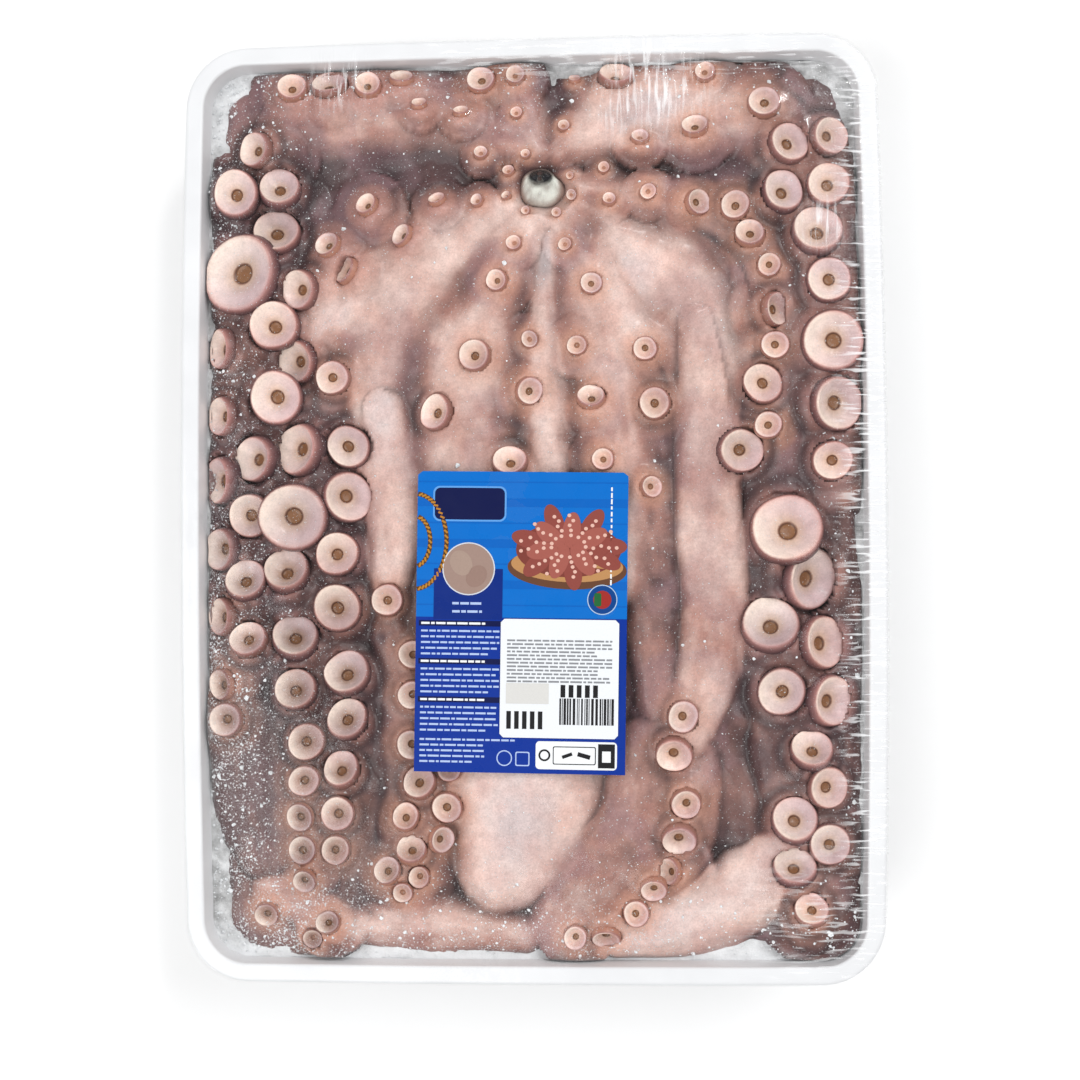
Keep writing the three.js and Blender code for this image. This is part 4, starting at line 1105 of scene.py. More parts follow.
def frost_cover(x, y):
    """How thickly fine frost lies, 0 to 1: most at the left and along the walls."""
    inside = edge_distance(x, y)
    cover = 0.58 * np.exp(-np.maximum(inside, 0) / 12) * np.where(x < 60, 1.0, 0.5)
    cover += 0.36 * np.clip((-x - 66) / 40, 0, 1) * np.clip((150 - y) / 160, 0.35, 1)
    cover += 0.3 * np.exp(-((y + 170) / 22) ** 2) * np.clip((90 - x) / 60, 0, 1)
    cover += 0.04
    return np.clip(cover * (0.75 + 0.9 * rough_noise(x / 9, y / 9, 76)), 0, 0.8)


BODY_COLUMNS = 250
BODY_ROWS = 340
BODY_INSET = 9.6
# How the block of flesh falls from its border: shares that it is drawn in by, and heights.
BODY_SIDE = [(0.915, 0.935, 40.0), (0.99, 0.99, 8.6), (0.965, 0.972, 2.9)]
HIDDEN_SKIN = (112, 82, 80)


def build_body(settings):
    """The arms, web and mantle seen from above, over the block of flesh below them."""
    body = add_grid(BODY_COLUMNS, BODY_ROWS)
    flat = get_places(body)
    x, y = tray_place(flat[:, 0], flat[:, 1], BODY_INSET)
    height, tone, streak, collar, cone, groove, seam = body_fields(x, y)
    columns = BODY_COLUMNS + 1
    if abs(flat[1, 1] - flat[0, 1]) > abs(flat[1, 0] - flat[0, 0]):
        columns = BODY_ROWS + 1
    relief = height.reshape(-1, columns)
    local = np.maximum(blurred(relief, 5), blurred(relief, 11)).ravel()
    set_places(body, inside_wall(np.column_stack([x, y, height])) * MM)
    colours = flesh_colours(settings, x, y, tone, streak, local - height, collar, cone, groove,
                            seam)
    for across, along, level in BODY_SIDE:
        fold_down(body, across, along, level)
    extrude_border(body)
    bpy.ops.mesh.merge(type="CENTER")
    face_outwards()
    below = len(body.data.vertices) - len(x)
    paint(body, "Flesh", np.vstack([colours, np.tile(linear(*HIDDEN_SKIN), (below, 1))]))
    paint(body, "Rime", np.append(frost_cover(x, y), np.zeros(below)))
    smooth(body, 80)
    dress(body, wet_flesh("octopus_skin", 0.36, 0.42))
    settle(body, "octopus_body", "octopus_skin", "octopus")


# Section of a sucker from the bottom of its hole over the rim to its foot: radius, height
# and colour. Radius 1 is the rim's and height 1 the cup's.
# The colours darken at the edge of the hole and down the outer wall to the foot: painted shade.
SUCKER_SECTION = [
    (0.10, -0.16, (136, 92, 60)), (0.20, -0.13, (140, 96, 62)), (0.235, -0.04, (92, 56, 38)),
    (0.262, 0.05, (140, 100, 80)), (0.305, 0.09, (212, 180, 160)), (0.43, 0.15, (226, 198, 184)),
    (0.57, 0.3, (234, 208, 200)), (0.70, 0.55, (242, 217, 210)), (0.81, 0.81, (244, 216, 208)),
    (0.89, 0.97, (238, 202, 191)), (0.94, 0.99, (208, 158, 148)), (0.985, 0.87, (164, 114, 108)),
    (1.02, 0.6, (130, 88, 86)), (1.05, 0.25, (100, 67, 68)), (1.06, -0.1, (78, 53, 56)),
    (1.02, -0.5, (62, 44, 48)),
]
SUCKER_HOLE = (132, 88, 56)
SUCKER_FOOT = (66, 46, 48)
SUCKER_STALK = (190, 134, 112)
SMALL_SUCKER = (228, 184, 166)
SMALL_HOLE = (196, 142, 120)
SUNLIT_CUP = (252, 236, 220)


def sucker_form(sides):
    """One sucker of unit size, with the ring of its section that each point belongs to."""
    angles = np.arange(sides) / sides * 2 * math.pi
    rings = [np.column_stack([r * np.cos(angles), r * np.sin(angles), np.full(sides, z)]) / MM
             for r, z, colour in SUCKER_SECTION]
    form = ring_shell(rings)
    places = get_places(form)
    section = np.array([(r, z) for r, z, colour in SUCKER_SECTION])
    around = np.hypot(places[:, 0], places[:, 1])
    near = ((section[None, :, 0] - around[:, None]) ** 2
            + (section[None, :, 1] - places[:, 2, None]) ** 2).argmin(axis=1)
    return form, places, near, around < 0.01


def build_suckers(settings):
    """Every sucker, copied from one form and given its own size, lean and irregular rim."""
    draw = np.random.default_rng(53)
    section_colours = np.array([linear(*colour) for r, z, colour in SUCKER_SECTION])
    forms = {sides: sucker_form(sides) for sides in (20, 30)}
    copies = []
    for x, y, r, seat, cup, nx, ny in SUCKERS:
        form, places, near, centre = forms[20 if r < 5 else 30]
        turn = draw.uniform(0, 2 * math.pi)
        angle = np.arctan2(places[:, 1], places[:, 0])
        around = np.hypot(places[:, 0], places[:, 1])
        waves = sum(draw.uniform(-1, 1) * np.cos(k * angle + draw.uniform(0, 6.28)) / k
                    for k in (2, 3, 4, 5))
        ellipse = 1 - draw.uniform(0.0, 0.1) * np.cos(angle - turn) ** 2
        wide = around * ellipse * (1 + 0.045 * waves * np.clip(around * 1.5, 0, 1))
        shift = draw.uniform(-0.06, 0.06, 2)[:, None] * np.clip(1 - around / 0.9, 0, 1)
        folds = (0.035 * np.cos(draw.integers(9, 15) * angle)
                 * np.clip(1 - abs(around - 0.6) / 0.3, 0, 1))
        px = r * (wide * np.cos(angle) + shift[0])
        py = r * (wide * np.sin(angle) + shift[1])
        rim_wave = 0.1 * waves * np.clip((around - 0.5) * 2, 0, 1) * (places[:, 2] > 0.1)
        pz = cup * (places[:, 2] + folds + rim_wave)
        facing = Vector((nx, ny, 1)).normalized()
        side = Vector((1, 0, -nx)).normalized()
        turned = (px[:, None] * np.array(side) + py[:, None] * np.array(facing.cross(side))
                  + pz[:, None] * np.array(facing))
        copy = form.copy()
        copy.data = form.data.copy()
        bpy.context.collection.objects.link(copy)
        set_places(copy, inside_wall(turned + np.array([x, y, seat])) * MM)
        colours = section_colours[near]
        small = np.clip((9 - r) / 3, 0, 1)
        colours = lerp(colours, np.minimum(colours, linear(*SMALL_SUCKER)),
                       np.full(len(colours), 0.75 * small) * (around < 0.8))
        # Suckers are darker towards the bottom left.
        low_left_dark = 0.24 * np.clip((-x - 30) / 60, 0, 1) * np.clip((20 - y) / 90, 0, 1)
        pale = draw.uniform(0.88, 1.05) - low_left_dark
        warm = draw.uniform(-0.03, 0.03)
        colours = colours * pale * np.array([1 + warm, 1, 1 - warm])
        streaks = 1 + 0.03 * np.cos(draw.integers(7, 12) * angle + turn) * (around < 0.9)
        colours = colours * streaks[:, None]
        # Painted shade on one side of each bowl and painted sunlight on the other.
        bowl = np.clip((around - 0.25) / 0.2, 0, 1) * (around < 0.96) * (places[:, 2] > 0)
        light = np.cos(angle - 3.0 + draw.uniform(-0.8, 0.8))
        colours = lerp(colours, colours * np.array([0.66, 0.58, 0.66]),
                       np.clip(0.15 - 0.6 * light, 0, 0.7) * bowl)
        colours = lerp(colours, linear(*SUNLIT_CUP), np.clip(light - 0.25, 0, 0.6) * bowl
                       * np.clip((around - 0.45) / 0.3, 0, 1))
        blotch = rough_noise((x + px) / 3.4, (y + py) / 3.4, 79, 2) * (around > 0.25)
        colours = colours * (1 + 0.09 * np.clip(blotch, -1.5, 1))[:, None]
        stalk = (places[:, 2] < 0.7) & (around > 0.94)
        colours[stalk] = lerp(colours[stalk], linear(*SUCKER_STALK),
                              np.full(stalk.sum(), small * 0.8))
        colours[centre] = np.where(places[centre, 2:] > -0.3, linear(*SUCKER_HOLE),
                                   linear(*SUCKER_FOOT))
        # Painted shade round the hole, much stronger towards the bottom left.
        shade = np.clip((0.74 - around) / 0.46, 0, 1) * (around > 0.25) * (places[:, 2] > 0)
        colours = lerp(colours, colours * np.array([0.5, 0.4, 0.36]), shade * (0.12 + 3.2 * low_left_dark))
        tiny = np.clip((5 - r) / 1.5, 0, 1) * np.clip((0.4 - around) / 0.1, 0, 1)
        colours = lerp(colours, linear(*SMALL_HOLE), 0.75 * tiny)
        paint(copy, "Flesh", np.clip(colours, 0, 1))
        frost = float(frost_cover(np.array([x]), np.array([y]))[0])
        paint(copy, "Rime", np.full(len(colours), 0.35 * frost))
        copies.append(copy)
    for form, *rest in forms.values():
        bpy.data.objects.remove(form)
    cups = joined(copies)
    smooth(cups, 60)
    dress(cups, wet_flesh("sucker_flesh", 0.3, 0.25, 0.6))
    settle(cups, "octopus_suckers", "octopus_skin", "octopus")


MOUTH_OPENING = (MOUTH[0], MOUTH[1] + 1.2)
LIP_SIDES = 48
# Section of the lips from inside the mouth out over the lump: share of its radius and height.
LIP_SECTION = [(0.3, -1.8), (0.42, -1.5), (0.5, -0.6), (0.53, 0.8), (0.57, 1.9), (0.64, 2.7),
               (0.74, 3.1), (0.85, 2.5), (0.95, 1.4), (1.02, -0.2), (1.05, -2.0), (1.08, -4.5)]


def build_mouth(settings):
    """The pale muscular lump of the mouth, open round the beak near its top."""
    angles = np.arange(LIP_SIDES) / LIP_SIDES * 2 * math.pi
    draw = np.random.default_rng(57)
    puckers = sum(draw.uniform(0.4, 1) * np.cos(k * angles + draw.uniform(0, 6.28))
                  for k in (9, 14, 19)) / 3
    rings = []
    for r, z in LIP_SECTION:
        strength = math.exp(-((r - 0.62) / 0.3) ** 2)
        shift = np.clip((r - 0.45) / 0.5, 0, 1)
        uneven = 0.05 * puckers * strength + shift * (lump_wave(angles) - 1)
        around = MOUTH_RADIUS * r * (1 + uneven)
        centre = np.array(MOUTH_OPENING) * (1 - shift) + np.array(LUMP) * shift
        flat = 0.55 + 0.45 * shift
        rings.append(np.column_stack([centre[0] + around * np.cos(angles),
                                      centre[1] + around * flat * np.sin(angles),
                                      MOUTH_LEVEL + z + 0.45 * puckers * strength]))
    lips = ring_shell(rings)
    x, y, z = get_places(lips).T / MM
    inner = np.hypot(x - MOUTH_OPENING[0], (y - MOUTH_OPENING[1]) * 1.8) / MOUTH_RADIUS
    outer = np.hypot(x - LUMP[0], y - LUMP[1]) / MOUTH_RADIUS
    # The lips inside the opening are painted near black as shade, and pale beyond it.
    colour = lerp(linear(44, 44, 50), linear(222, 224, 214), np.clip((inner - 0.5) / 0.16, 0, 1))
    patches = 0.35 + 1.2 * rough_noise(x / 3.5, y / 3.5, 58) - 0.06 * (x - LUMP[0])
    colour = lerp(colour, linear(158, 150, 142), np.clip(patches, 0, 0.85) * (inner > 0.6))
    colour = lerp(colour, linear(150, 126, 116), np.clip((outer - 0.76) / 0.26, 0, 1))
    paint(lips, "Flesh", colour)
    paint(lips, "Rime", np.full(len(colour), 0.1))
    smooth(lips, 70)
    dress(lips, wet_flesh("lip_flesh", 0.3, 0.2, 1.0))
    settle(lips, "mouth_lips", "octopus_skin", "octopus")


JAW_SIDES = 16


def build_beak(settings):
    """Two hooked jaws, the upper one closing inside the lower."""
    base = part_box("beak")[0][2] / MM
    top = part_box("beak")[1][2] / MM
    angles = np.arange(JAW_SIDES) / JAW_SIDES * 2 * math.pi
    jaws = []
    for lean, size, reach in ((1, 1.0, 1.0), (-1, 0.82, 0.86)):
        rings = []
        for t in np.linspace(0, 1, 9):
            width = 1.75 * size * (1 - t) ** 0.7 + 0.12
            thick = 1.15 * size * (1 - t) ** 0.8 + 0.1
            bend = lean * (1.35 - 1.7 * t ** 1.6)
            rings.append(np.column_stack([
                MOUTH[0] + width * np.cos(angles),
                MOUTH[1] + bend + thick * np.sin(angles) * (1 - 0.25 * np.cos(angles) ** 2),
                np.full(JAW_SIDES, base + (top - base) * reach * t)]))
        jaws.append(ring_shell(rings))
    beak = joined(jaws)
    smooth(beak, 60)
    dress(beak, dark_horn())
    settle(beak, "beak_jaws", "beak", "beak")


def build_frost(settings):
    """Loose frost on the skin and the ice, thickest at the left and at the corners."""
    draw = np.random.default_rng(67)
    deselect()
    bpy.ops.mesh.primitive_ico_sphere_add(subdivisions=1, radius=1)
    seed = bpy.context.object
    form = get_places(seed)
    corners = np.array([list(face.vertices) for face in seed.data.polygons])
    bpy.data.objects.remove(seed)
    tries = 60000
    x = draw.uniform(-138, 138, tries)
    y = draw.uniform(-188, 188, tries)
    inside = edge_distance(x, y)
    chance = 1.0 * np.exp(-np.maximum(inside, 0) / 9)
    chance *= np.where(x < 0, 1.0, 0.45)
    chance += 0.36 * np.exp(-((x + 128) / 30) ** 2) * np.clip((90 - y) / 200, 0.3, 1)
    chance += 0.02
    chance += 0.25 * np.exp(-((y + 178) / 18) ** 2)
    chance += 0.9 * np.exp(-((x + 126) ** 2 + (y - 176) ** 2) / 250)
    chance *= np.clip(0.6 + 1.3 * rough_noise(x / 8, y / 8, 68), 0, 1)
    keep = (inside > 1.5) & (draw.uniform(0, 1, tries) < chance * 0.6)
    x, y = x[keep][:settings.frost_count], y[keep][:settings.frost_count]
    count = len(x)
    size = np.clip(draw.lognormal(-1.0, 0.5, count), 0.18, 1.2)
    height = np.maximum(body_fields(x, y)[0], np.where(edge_distance(x, y) < 13, ICE_LEVEL - 1, 0))
    lumps = form[None] * draw.uniform(0.65, 1.25, (count, len(form), 1))
    lumps = lumps * np.stack([draw.uniform(0.6, 1.2, count), draw.uniform(0.6, 1.2, count),
                              draw.uniform(0.4, 0.9, count)], 1)[:, None, :]
    turn = draw.uniform(0, 2 * math.pi, count)
    cos, sin = np.cos(turn)[:, None], np.sin(turn)[:, None]
    px = lumps[..., 0] * cos - lumps[..., 1] * sin
    py = lumps[..., 0] * sin + lumps[..., 1] * cos
    places = np.stack([px, py, lumps[..., 2]], -1) * size[:, None, None]
    places += np.stack([x, y, height + 0.15 * size], -1)[:, None, :]
    faces = (corners[None] + (np.arange(count) * len(form))[:, None, None]).reshape(-1, 3)
    mesh = bpy.data.meshes.new("frost_crystals")
    mesh.from_pydata((places.reshape(-1, 3) * MM).tolist(), [], faces.tolist())
    frost = bpy.data.objects.new("frost_crystals", mesh)
    bpy.context.collection.objects.link(frost)
    dress(frost, frost_flakes())
    settle(frost, "frost_crystals", "ice")


# The film's rest: a taut sheet over the suckers, worked out once on a two-millimetre grid

CLING_STEP = 2.0


def label_surface(x, y):
    """Height of the label's underside."""
    return LABEL_LEVEL + 0.3 * soft_noise(x / 38, y / 38, 81)


def on_label(x, y, margin):
    """Whether places lie under the label or within a margin of it."""
    cos, sin = math.cos(-LABEL_TURN), math.sin(-LABEL_TURN)
    dx, dy = x - LABEL_CENTRE[0], y - LABEL_CENTRE[1]
    across, along = dx * cos - dy * sin, dx * sin + dy * cos
    return (np.abs(across) < LABEL_WIDTH / 2 + margin) & (np.abs(along) < LABEL_LENGTH / 2 + margin)


def cling_film():
    """Height of the film over the whole tray, as a grid."""
    xs = np.arange(-152, 152.1, CLING_STEP)
    ys = np.arange(-202, 202.1, CLING_STEP)
    x, y = np.meshgrid(xs, ys)
    flat_x, flat_y = x.ravel(), y.ravel()
    below = body_fields(flat_x, flat_y)[0]
    inside = edge_distance(flat_x, flat_y)
    below[inside < 1] = 0
    for sx, sy, r, seat, cup, nx, ny in SUCKERS:
        dx, dy = flat_x - sx, flat_y - sy
        hit = np.hypot(dx, dy) < r
        below[hit] = np.maximum(below[hit], (seat + cup * 1.04 - nx * dx - ny * dy)[hit])
    mouth = np.hypot(flat_x - LUMP[0], flat_y - LUMP[1]) < MOUTH_RADIUS * 0.9
    below[mouth] = MOUTH_LEVEL + 3.2
    below += FILM_CLEAR
    rim = (inside <= 0).reshape(x.shape)
    floor = below.reshape(x.shape)
    under_label = on_label(x, y, 1.0)
    floor[under_label] = np.maximum(floor, label_surface(x, y) - 0.12)[under_label]
    floor[rim] = RIM_HEIGHT + FILM_CLEAR
    film = np.maximum(floor, RIM_HEIGHT + FILM_CLEAR)
    film = np.maximum(film, blurred(film, 4))
    for step in range(500):
        film[1:-1, 1:-1] = 0.25 * (film[2:, 1:-1] + film[:-2, 1:-1]
                                   + film[1:-1, 2:] + film[1:-1, :-2])
        film = np.maximum(film, floor)
        film[rim] = RIM_HEIGHT + FILM_CLEAR
    top = film_limit(np.maximum(inside, 0)).reshape(x.shape) + 0.3
    return xs, ys, np.minimum(film, np.where(under_label, 99, top))


FILM_GRID = cling_film()


def film_height(x, y):
    """The clinging film's height at any places."""
    xs, ys, film = FILM_GRID
    fx = np.clip((x - xs[0]) / CLING_STEP, 0, len(xs) - 1.001)
    fy = np.clip((y - ys[0]) / CLING_STEP, 0, len(ys) - 1.001)
    ix, iy = fx.astype(int), fy.astype(int)
    fx, fy = fx - ix, fy - iy
    return ((film[iy, ix] * (1 - fx) + film[iy, ix + 1] * fx) * (1 - fy)
            + (film[iy + 1, ix] * (1 - fx) + film[iy + 1, ix + 1] * fx) * fy)


FILM_COLUMNS = 110
FILM_ROWS = 540
FILM_INSET = 2.0
CREASE_PITCH = 2.6
CREASE_HEIGHT = 0.16
# Patches of milky glare on the film: middle and reach.
FILM_GLARES = [(57, 176, 15), (46, 186, 10), (-80, 182, 9), (40, 168, 8), (124, 118, 8)]


def crease_strength(x, y):
    """Where the film is gathered: along the right rim, at the bottom right and the top."""
    inset = inset_at(x, y)
    right = np.clip((x - 126) / 12, 0, 1) * np.clip((195 - np.abs(y)) / 20, 0, 1)
    top = np.clip((y - 178) / 10, 0, 1) * np.clip((x + 55) / 30, 0, 1) * 0.5
    corner = np.exp(-((x - 128) ** 2 + (y + 178) ** 2) / 900) * 0.6
    return np.clip(np.maximum(np.maximum(right, top), corner), 0, 1) * np.clip(inset / 1.5, 0.2, 1)


def build_film(settings):
    """The wrapping film: clinging over the suckers, over the rim and turned in below."""
    film = add_grid(FILM_COLUMNS, FILM_ROWS)
    flat = get_places(film)
    x, y = tray_place(flat[:, 0], flat[:, 1], FILM_INSET)
    z = film_height(x, y)
    wander = 1.6 * soft_noise(x / 24, y / 18, 91)
    phase = (y + wander) / CREASE_PITCH * 2 * math.pi
    ripple = np.cos(phase) + 0.4 * np.cos(phase * 0.5 + 1)
    z += CREASE_HEIGHT * crease_strength(x, y) * ripple * settings.crease_height
    inset = inset_at(x, y)
    z += 0.10 * soft_noise(x / 7, y / 7, 92) * np.clip((inset - 8) / 8, 0, 1)
    z = np.where(inset < RIM_WIDTH + 1, np.maximum(z, RIM_HEIGHT + 0.12), z)
    set_places(film, np.column_stack([x, y, z]) * MM)

    foot = RIM_WIDTH + WALL_DRAFT - WALL - 0.7
    before = FILM_INSET
    for inset, height in [(0.8, 59.95), (0.2, 59.0), (0.1, 57.5), (0.1, 55), (4.6, 38), (9.2, 18),
                          (foot, 2.2), (foot + 0.8, 0.7), (foot + 2.6, 0.15), (foot + 18, 0.15),
                          (foot + 36, 0.15)]:
        fold_down(film, (PACK_WIDTH / 2 - inset) / (PACK_WIDTH / 2 - before),
                  (PACK_LENGTH / 2 - inset) / (PACK_LENGTH / 2 - before), height)
        before = inset

    x, y, z = get_places(film).T / MM
    strength = crease_strength(x, y) * np.where(z > 56, 1, 0.3)
    # Patches of painted glare, stored beside the creases' strength, for the film's white diffuse.
    glare = np.zeros(len(strength))
    for glare_x, glare_y, reach in FILM_GLARES:
        away = np.hypot(x - glare_x, y - glare_y)
        glare = np.maximum(glare, np.exp(-(away / reach) ** 2) * (z > 59))
    paint(film, "CreaseAndGlare", np.column_stack([strength, glare, glare]))
    edit(film)
    face_outwards()
    smooth(film, 80)
    dress(film, clear_film())
    # Real film is too thin to shade what it wraps, and this keeps the render short.
    film.visible_shadow = False
    film.visible_diffuse = False
    film.visible_glossy = False
    settle(film, "film_wrap", "clear_film", "film")


# Printing, as fields of colour

INK_RISE = 0.05       # how far the lowest layer of print lies off its sheet
LAYER_RISE = 0.035    # and each further layer off the last


class Press:
    """Lays printed shapes on a sheet, one thin layer over another."""

    def __init__(self, centre, turn, surface):
        self.centre, self.turn, self.surface = centre, turn, surface
        self.spans = []
        deselect()
        bpy.ops.mesh.primitive_plane_add(size=1)
        self.piece = bpy.context.object
        edit(self.piece)
        bpy.ops.mesh.select_all(action="SELECT")
        bpy.ops.mesh.delete(type="VERT")
        leave()

    def add(self, kind, x, y, width, length, colour, layer, turn, corner):
        """Adds a block or a disc: its middle, size, turn in degrees and corner radius."""
        edit(self.piece)
        bpy.ops.mesh.select_all(action="DESELECT")
        if kind == "disc":
            bpy.ops.mesh.primitive_circle_add(vertices=40, radius=0.5, fill_type="TRIFAN")
        elif corner > 0:
            bpy.ops.mesh.primitive_circle_add(vertices=32, radius=0.5, fill_type="TRIFAN")
        else:
            bpy.ops.mesh.primitive_grid_add(x_subdivisions=max(1, round(width / 6)),
                                            y_subdivisions=max(1, round(length / 6)), size=1)
        leave()
        places = get_places(self.piece)
        start = sum(count for count, *rest in self.spans)
        fresh = places[start:]
        if kind != "disc" and corner > 0:
            middle = np.hypot(fresh[:, 0], fresh[:, 1]) < 0.01
            sx, sy = np.sign(fresh[:, 0]), np.sign(fresh[:, 1])
            fx = fresh[:, 0] * 2 * corner + sx * (width / 2 - corner)
            fy = fresh[:, 1] * 2 * corner + sy * (length / 2 - corner)
            fx[middle] = fy[middle] = 0
        else:
            fx, fy = fresh[:, 0] * width, fresh[:, 1] * length
        cos, sin = math.cos(math.radians(turn)), math.sin(math.radians(turn))
        places[start:, 0] = fx * cos - fy * sin + x
        places[start:, 1] = fx * sin + fy * cos + y
        set_places(self.piece, places)
        self.spans.append((len(fresh), colour, layer))

    def finish(self):
        """Sets the shapes on the surface and paints them."""
        places = get_places(self.piece)
        cos, sin = math.cos(self.turn), math.sin(self.turn)
        x = places[:, 0] * cos - places[:, 1] * sin + self.centre[0]
        y = places[:, 0] * sin + places[:, 1] * cos + self.centre[1]
        z = self.surface(x, y)
        colours = np.empty((len(x), 3))
        start = 0
        for count, colour, layer in self.spans:
            z[start:start + count] += INK_RISE + LAYER_RISE * layer
            colours[start:start + count] = linear(*colour)
            start += count
        set_places(self.piece, np.column_stack([x, y, z]) * MM)
        paint(self.piece, "Print", colours)
        return self.piece


def paper_sheet(width, length, corner, centre, turn, surface, thick, colour):
    """A thin sheet with rounded corners that follows a surface."""
    sheet = add_grid(round(width / 1.5), round(length / 1.5))
    flat = get_places(sheet)
    y = flat[:, 1] * length / 2
    into = np.clip(np.abs(y) - (length / 2 - corner), 0, corner)
    x = flat[:, 0] * (width / 2 - corner + np.sqrt(np.maximum(corner ** 2 - into ** 2, 0)))
    cos, sin = math.cos(turn), math.sin(turn)
    px, py = x * cos - y * sin + centre[0], x * sin + y * cos + centre[1]
    set_places(sheet, np.column_stack([px, py, surface(px, py)]) * MM)
    pick(sheet)
    solid = sheet.modifiers.new("Thickness", "SOLIDIFY")
    solid.thickness = thick * MM
    solid.offset = -1
    bpy.ops.object.modifier_apply(modifier=solid.name)
    paint(sheet, "Print", np.tile(linear(*colour), (len(sheet.data.vertices), 1)))
    smooth(sheet, 40)
    return sheet


# Inks and papers, as seen on screen
AZURE = (0, 102, 188)
ROYAL = (4, 46, 140)
NAVY = (6, 16, 66)
BRICK = (118, 58, 50)
WHITE = (226, 228, 230)
GOLD = (176, 120, 42)
INK = (28, 28, 30)
GREY = (132, 134, 138)
STICKER_WHITE = (222, 225, 229)


def words(x, y, width, height, colour, layer, draw):
    """A line of short blocks, as wide as print seen from afar."""
    line = []
    at = 0.0
    while at < width - 1:
        length = min(float(draw.uniform(1.2, 5.0)), width - at)
        line.append(("block", x + at + length / 2, y, length, height, colour, layer, 0, 0))
        at += length + 0.6
    return line


def label_print():
    """The label's fields, in the order of what Press.add takes."""
    draw = np.random.default_rng(83)
    pale = (168, 186, 222)
    fields = [
        ("block", 0, -30.6, 88.5, 64.8, ROYAL, 0, 0, 0),
        ("block", -22.2, 49.4, 31, 14.9, (90, 150, 214), 1, 0, 3),
        ("block", -22.2, 49.4, 29.5, 13.4, NAVY, 2, 0, 2.5),
        ("block", -22.4, 11.5, 29, 21.3, (4, 38, 118), 1, 0, 0),
        ("disc", -22.3, 22.1, 22.2, 22.2, (200, 204, 212), 2, 0, 0),
        ("disc", -22.3, 22.1, 21.2, 21.2, (150, 126, 116), 3, 0, 0),
        ("disc", -25.5, 24.5, 9, 11, (158, 136, 124), 4, 30, 0),
        ("disc", -19, 19, 8, 10, (142, 116, 106), 4, -40, 0),
        ("disc", 19, 22.5, 50, 17, (96, 62, 44), 1, -2, 0),
        ("disc", 19, 24, 47, 14, (176, 130, 84), 2, -2, 0),
        ("disc", 19.5, 30.5, 44, 23, BRICK, 3, 0, 0),
        ("disc", 33.9, 9.8, 12.6, 12.6, (170, 190, 214), 4, 0, 0),
        ("disc", 33.9, 9.8, 11.8, 11.8, (8, 62, 128), 5, 0, 0),
        ("disc", 33.9, 9.8, 7.6, 7.6, (150, 44, 40), 6, 0, 0),
        ("block", 32.0, 9.8, 3.0, 5.6, (34, 96, 52), 7, 0, 0.8),
        ("disc", -6.3, -56.8, 6.6, 6.6, pale, 2, 0, 0),
        ("disc", -6.3, -56.8, 5.6, 5.6, ROYAL, 3, 0, 0),
        ("block", 1.3, -57, 6, 6, pale, 2, 0, 0.8),
        ("block", 1.3, -57, 5, 5, ROYAL, 3, 0, 0.6),
        ("block", 23.8, -55.3, 34, 11.7, WHITE, 2, 0, 1.8),
        ("disc", 10.5, -55.3, 5, 5, INK, 3, 0, 0),
        ("disc", 10.5, -55.3, 3.4, 3.4, WHITE, 4, 0, 0),
        ("block", 23, -55.3, 18, 7.6, INK, 3, 0, 0.8),
        ("block", 23, -55.3, 17.2, 6.8, WHITE, 4, 0, 0.6),
        ("block", 20, -55.3, 4.4, 1.4, INK, 5, 20, 0),
        ("block", 27, -55.3, 5.4, 1.8, INK, 5, -15, 0),
        ("block", 36.4, -55.3, 7, 10, INK, 3, 0, 0),
        ("block", 36.4, -55.6, 3.6, 4.6, WHITE, 4, 0, 0),
    ]
    for k in range(7):
        fields.append(("block", 0, 58.6 - 8.6 * k, 88.5, 0.5 + 3 * (k % 2), (0, 92, 178), 0, 0, 0))
    for k in range(13):
        angle = 2 * math.pi * k / 13
        reach, colour = ((0.62, (154, 86, 76)) if k % 2 else (1.0, (134, 68, 60)))
        fields.append(("disc", 19.5 + 17 * reach * math.cos(angle),
                       32 + 11 * reach * math.sin(angle), 15, 7.5, colour, 4 + k % 2,
                       math.degrees(angle), 0))
    for k in range(13):
        angle = 2 * math.pi * k / 13
        for at in (0.4, 0.58, 0.76, 0.94, 1.12):
            side = float(draw.uniform(-0.12, 0.12))
            fields.append(("disc", 19.5 + 18 * at * math.cos(angle + side),
                           32 + 11.5 * at * math.sin(angle + side), 1.6, 1.5,
                           (214, 172, 158), 6, 0, 0))
    for wide, high, count in ((6.5, 10.5, 7), (13.4, 20, 13)):
        for k in range(-count, count + 1):
            angle = k * 1.4 / count
            x, y = -45.2 + wide * math.cos(angle), 33.4 + high * math.sin(angle)
            if x > -43.2:
                slope = math.degrees(math.atan2(high * math.cos(angle),
                                                -wide * math.sin(angle)))
                fields.append(("block", x, y, 2.4, 1.9, (84, 58, 30), 1, slope, 0))
                fields.append(("block", x, y, 1.9, 0.8, GOLD, 2, slope + 42, 0))
    for k in range(16):
        fields.append(("block", 37.4, 56 - 2.6 * k, 0.7, draw.uniform(1.2, 2.2), WHITE, 4, 0, 0))
    for y in (7.6, 4.2):
        fields += words(-29, y, 13.5, 1.0, pale, 3, draw)
    for band in (-0.8, -16.7, -32.7):
        fields.append(("block", -25.7, band, 34.6, 2.3, NAVY, 2, 0, 0))
        fields += words(-42, band, 27, 0.9, WHITE, 3, draw)
        for row in range(5):
            fields += words(-42, band - 3.2 - 2.4 * row, 33 - 4 * (row == 4), 0.8, pale, 2, draw)
    for row in range(5):
        width = 40 if row == 0 else 28 - 5 * (row == 4)
        fields += words(-42, -49.4 - 2.3 * row, width, 0.8, pale, 2, draw)
    return fields


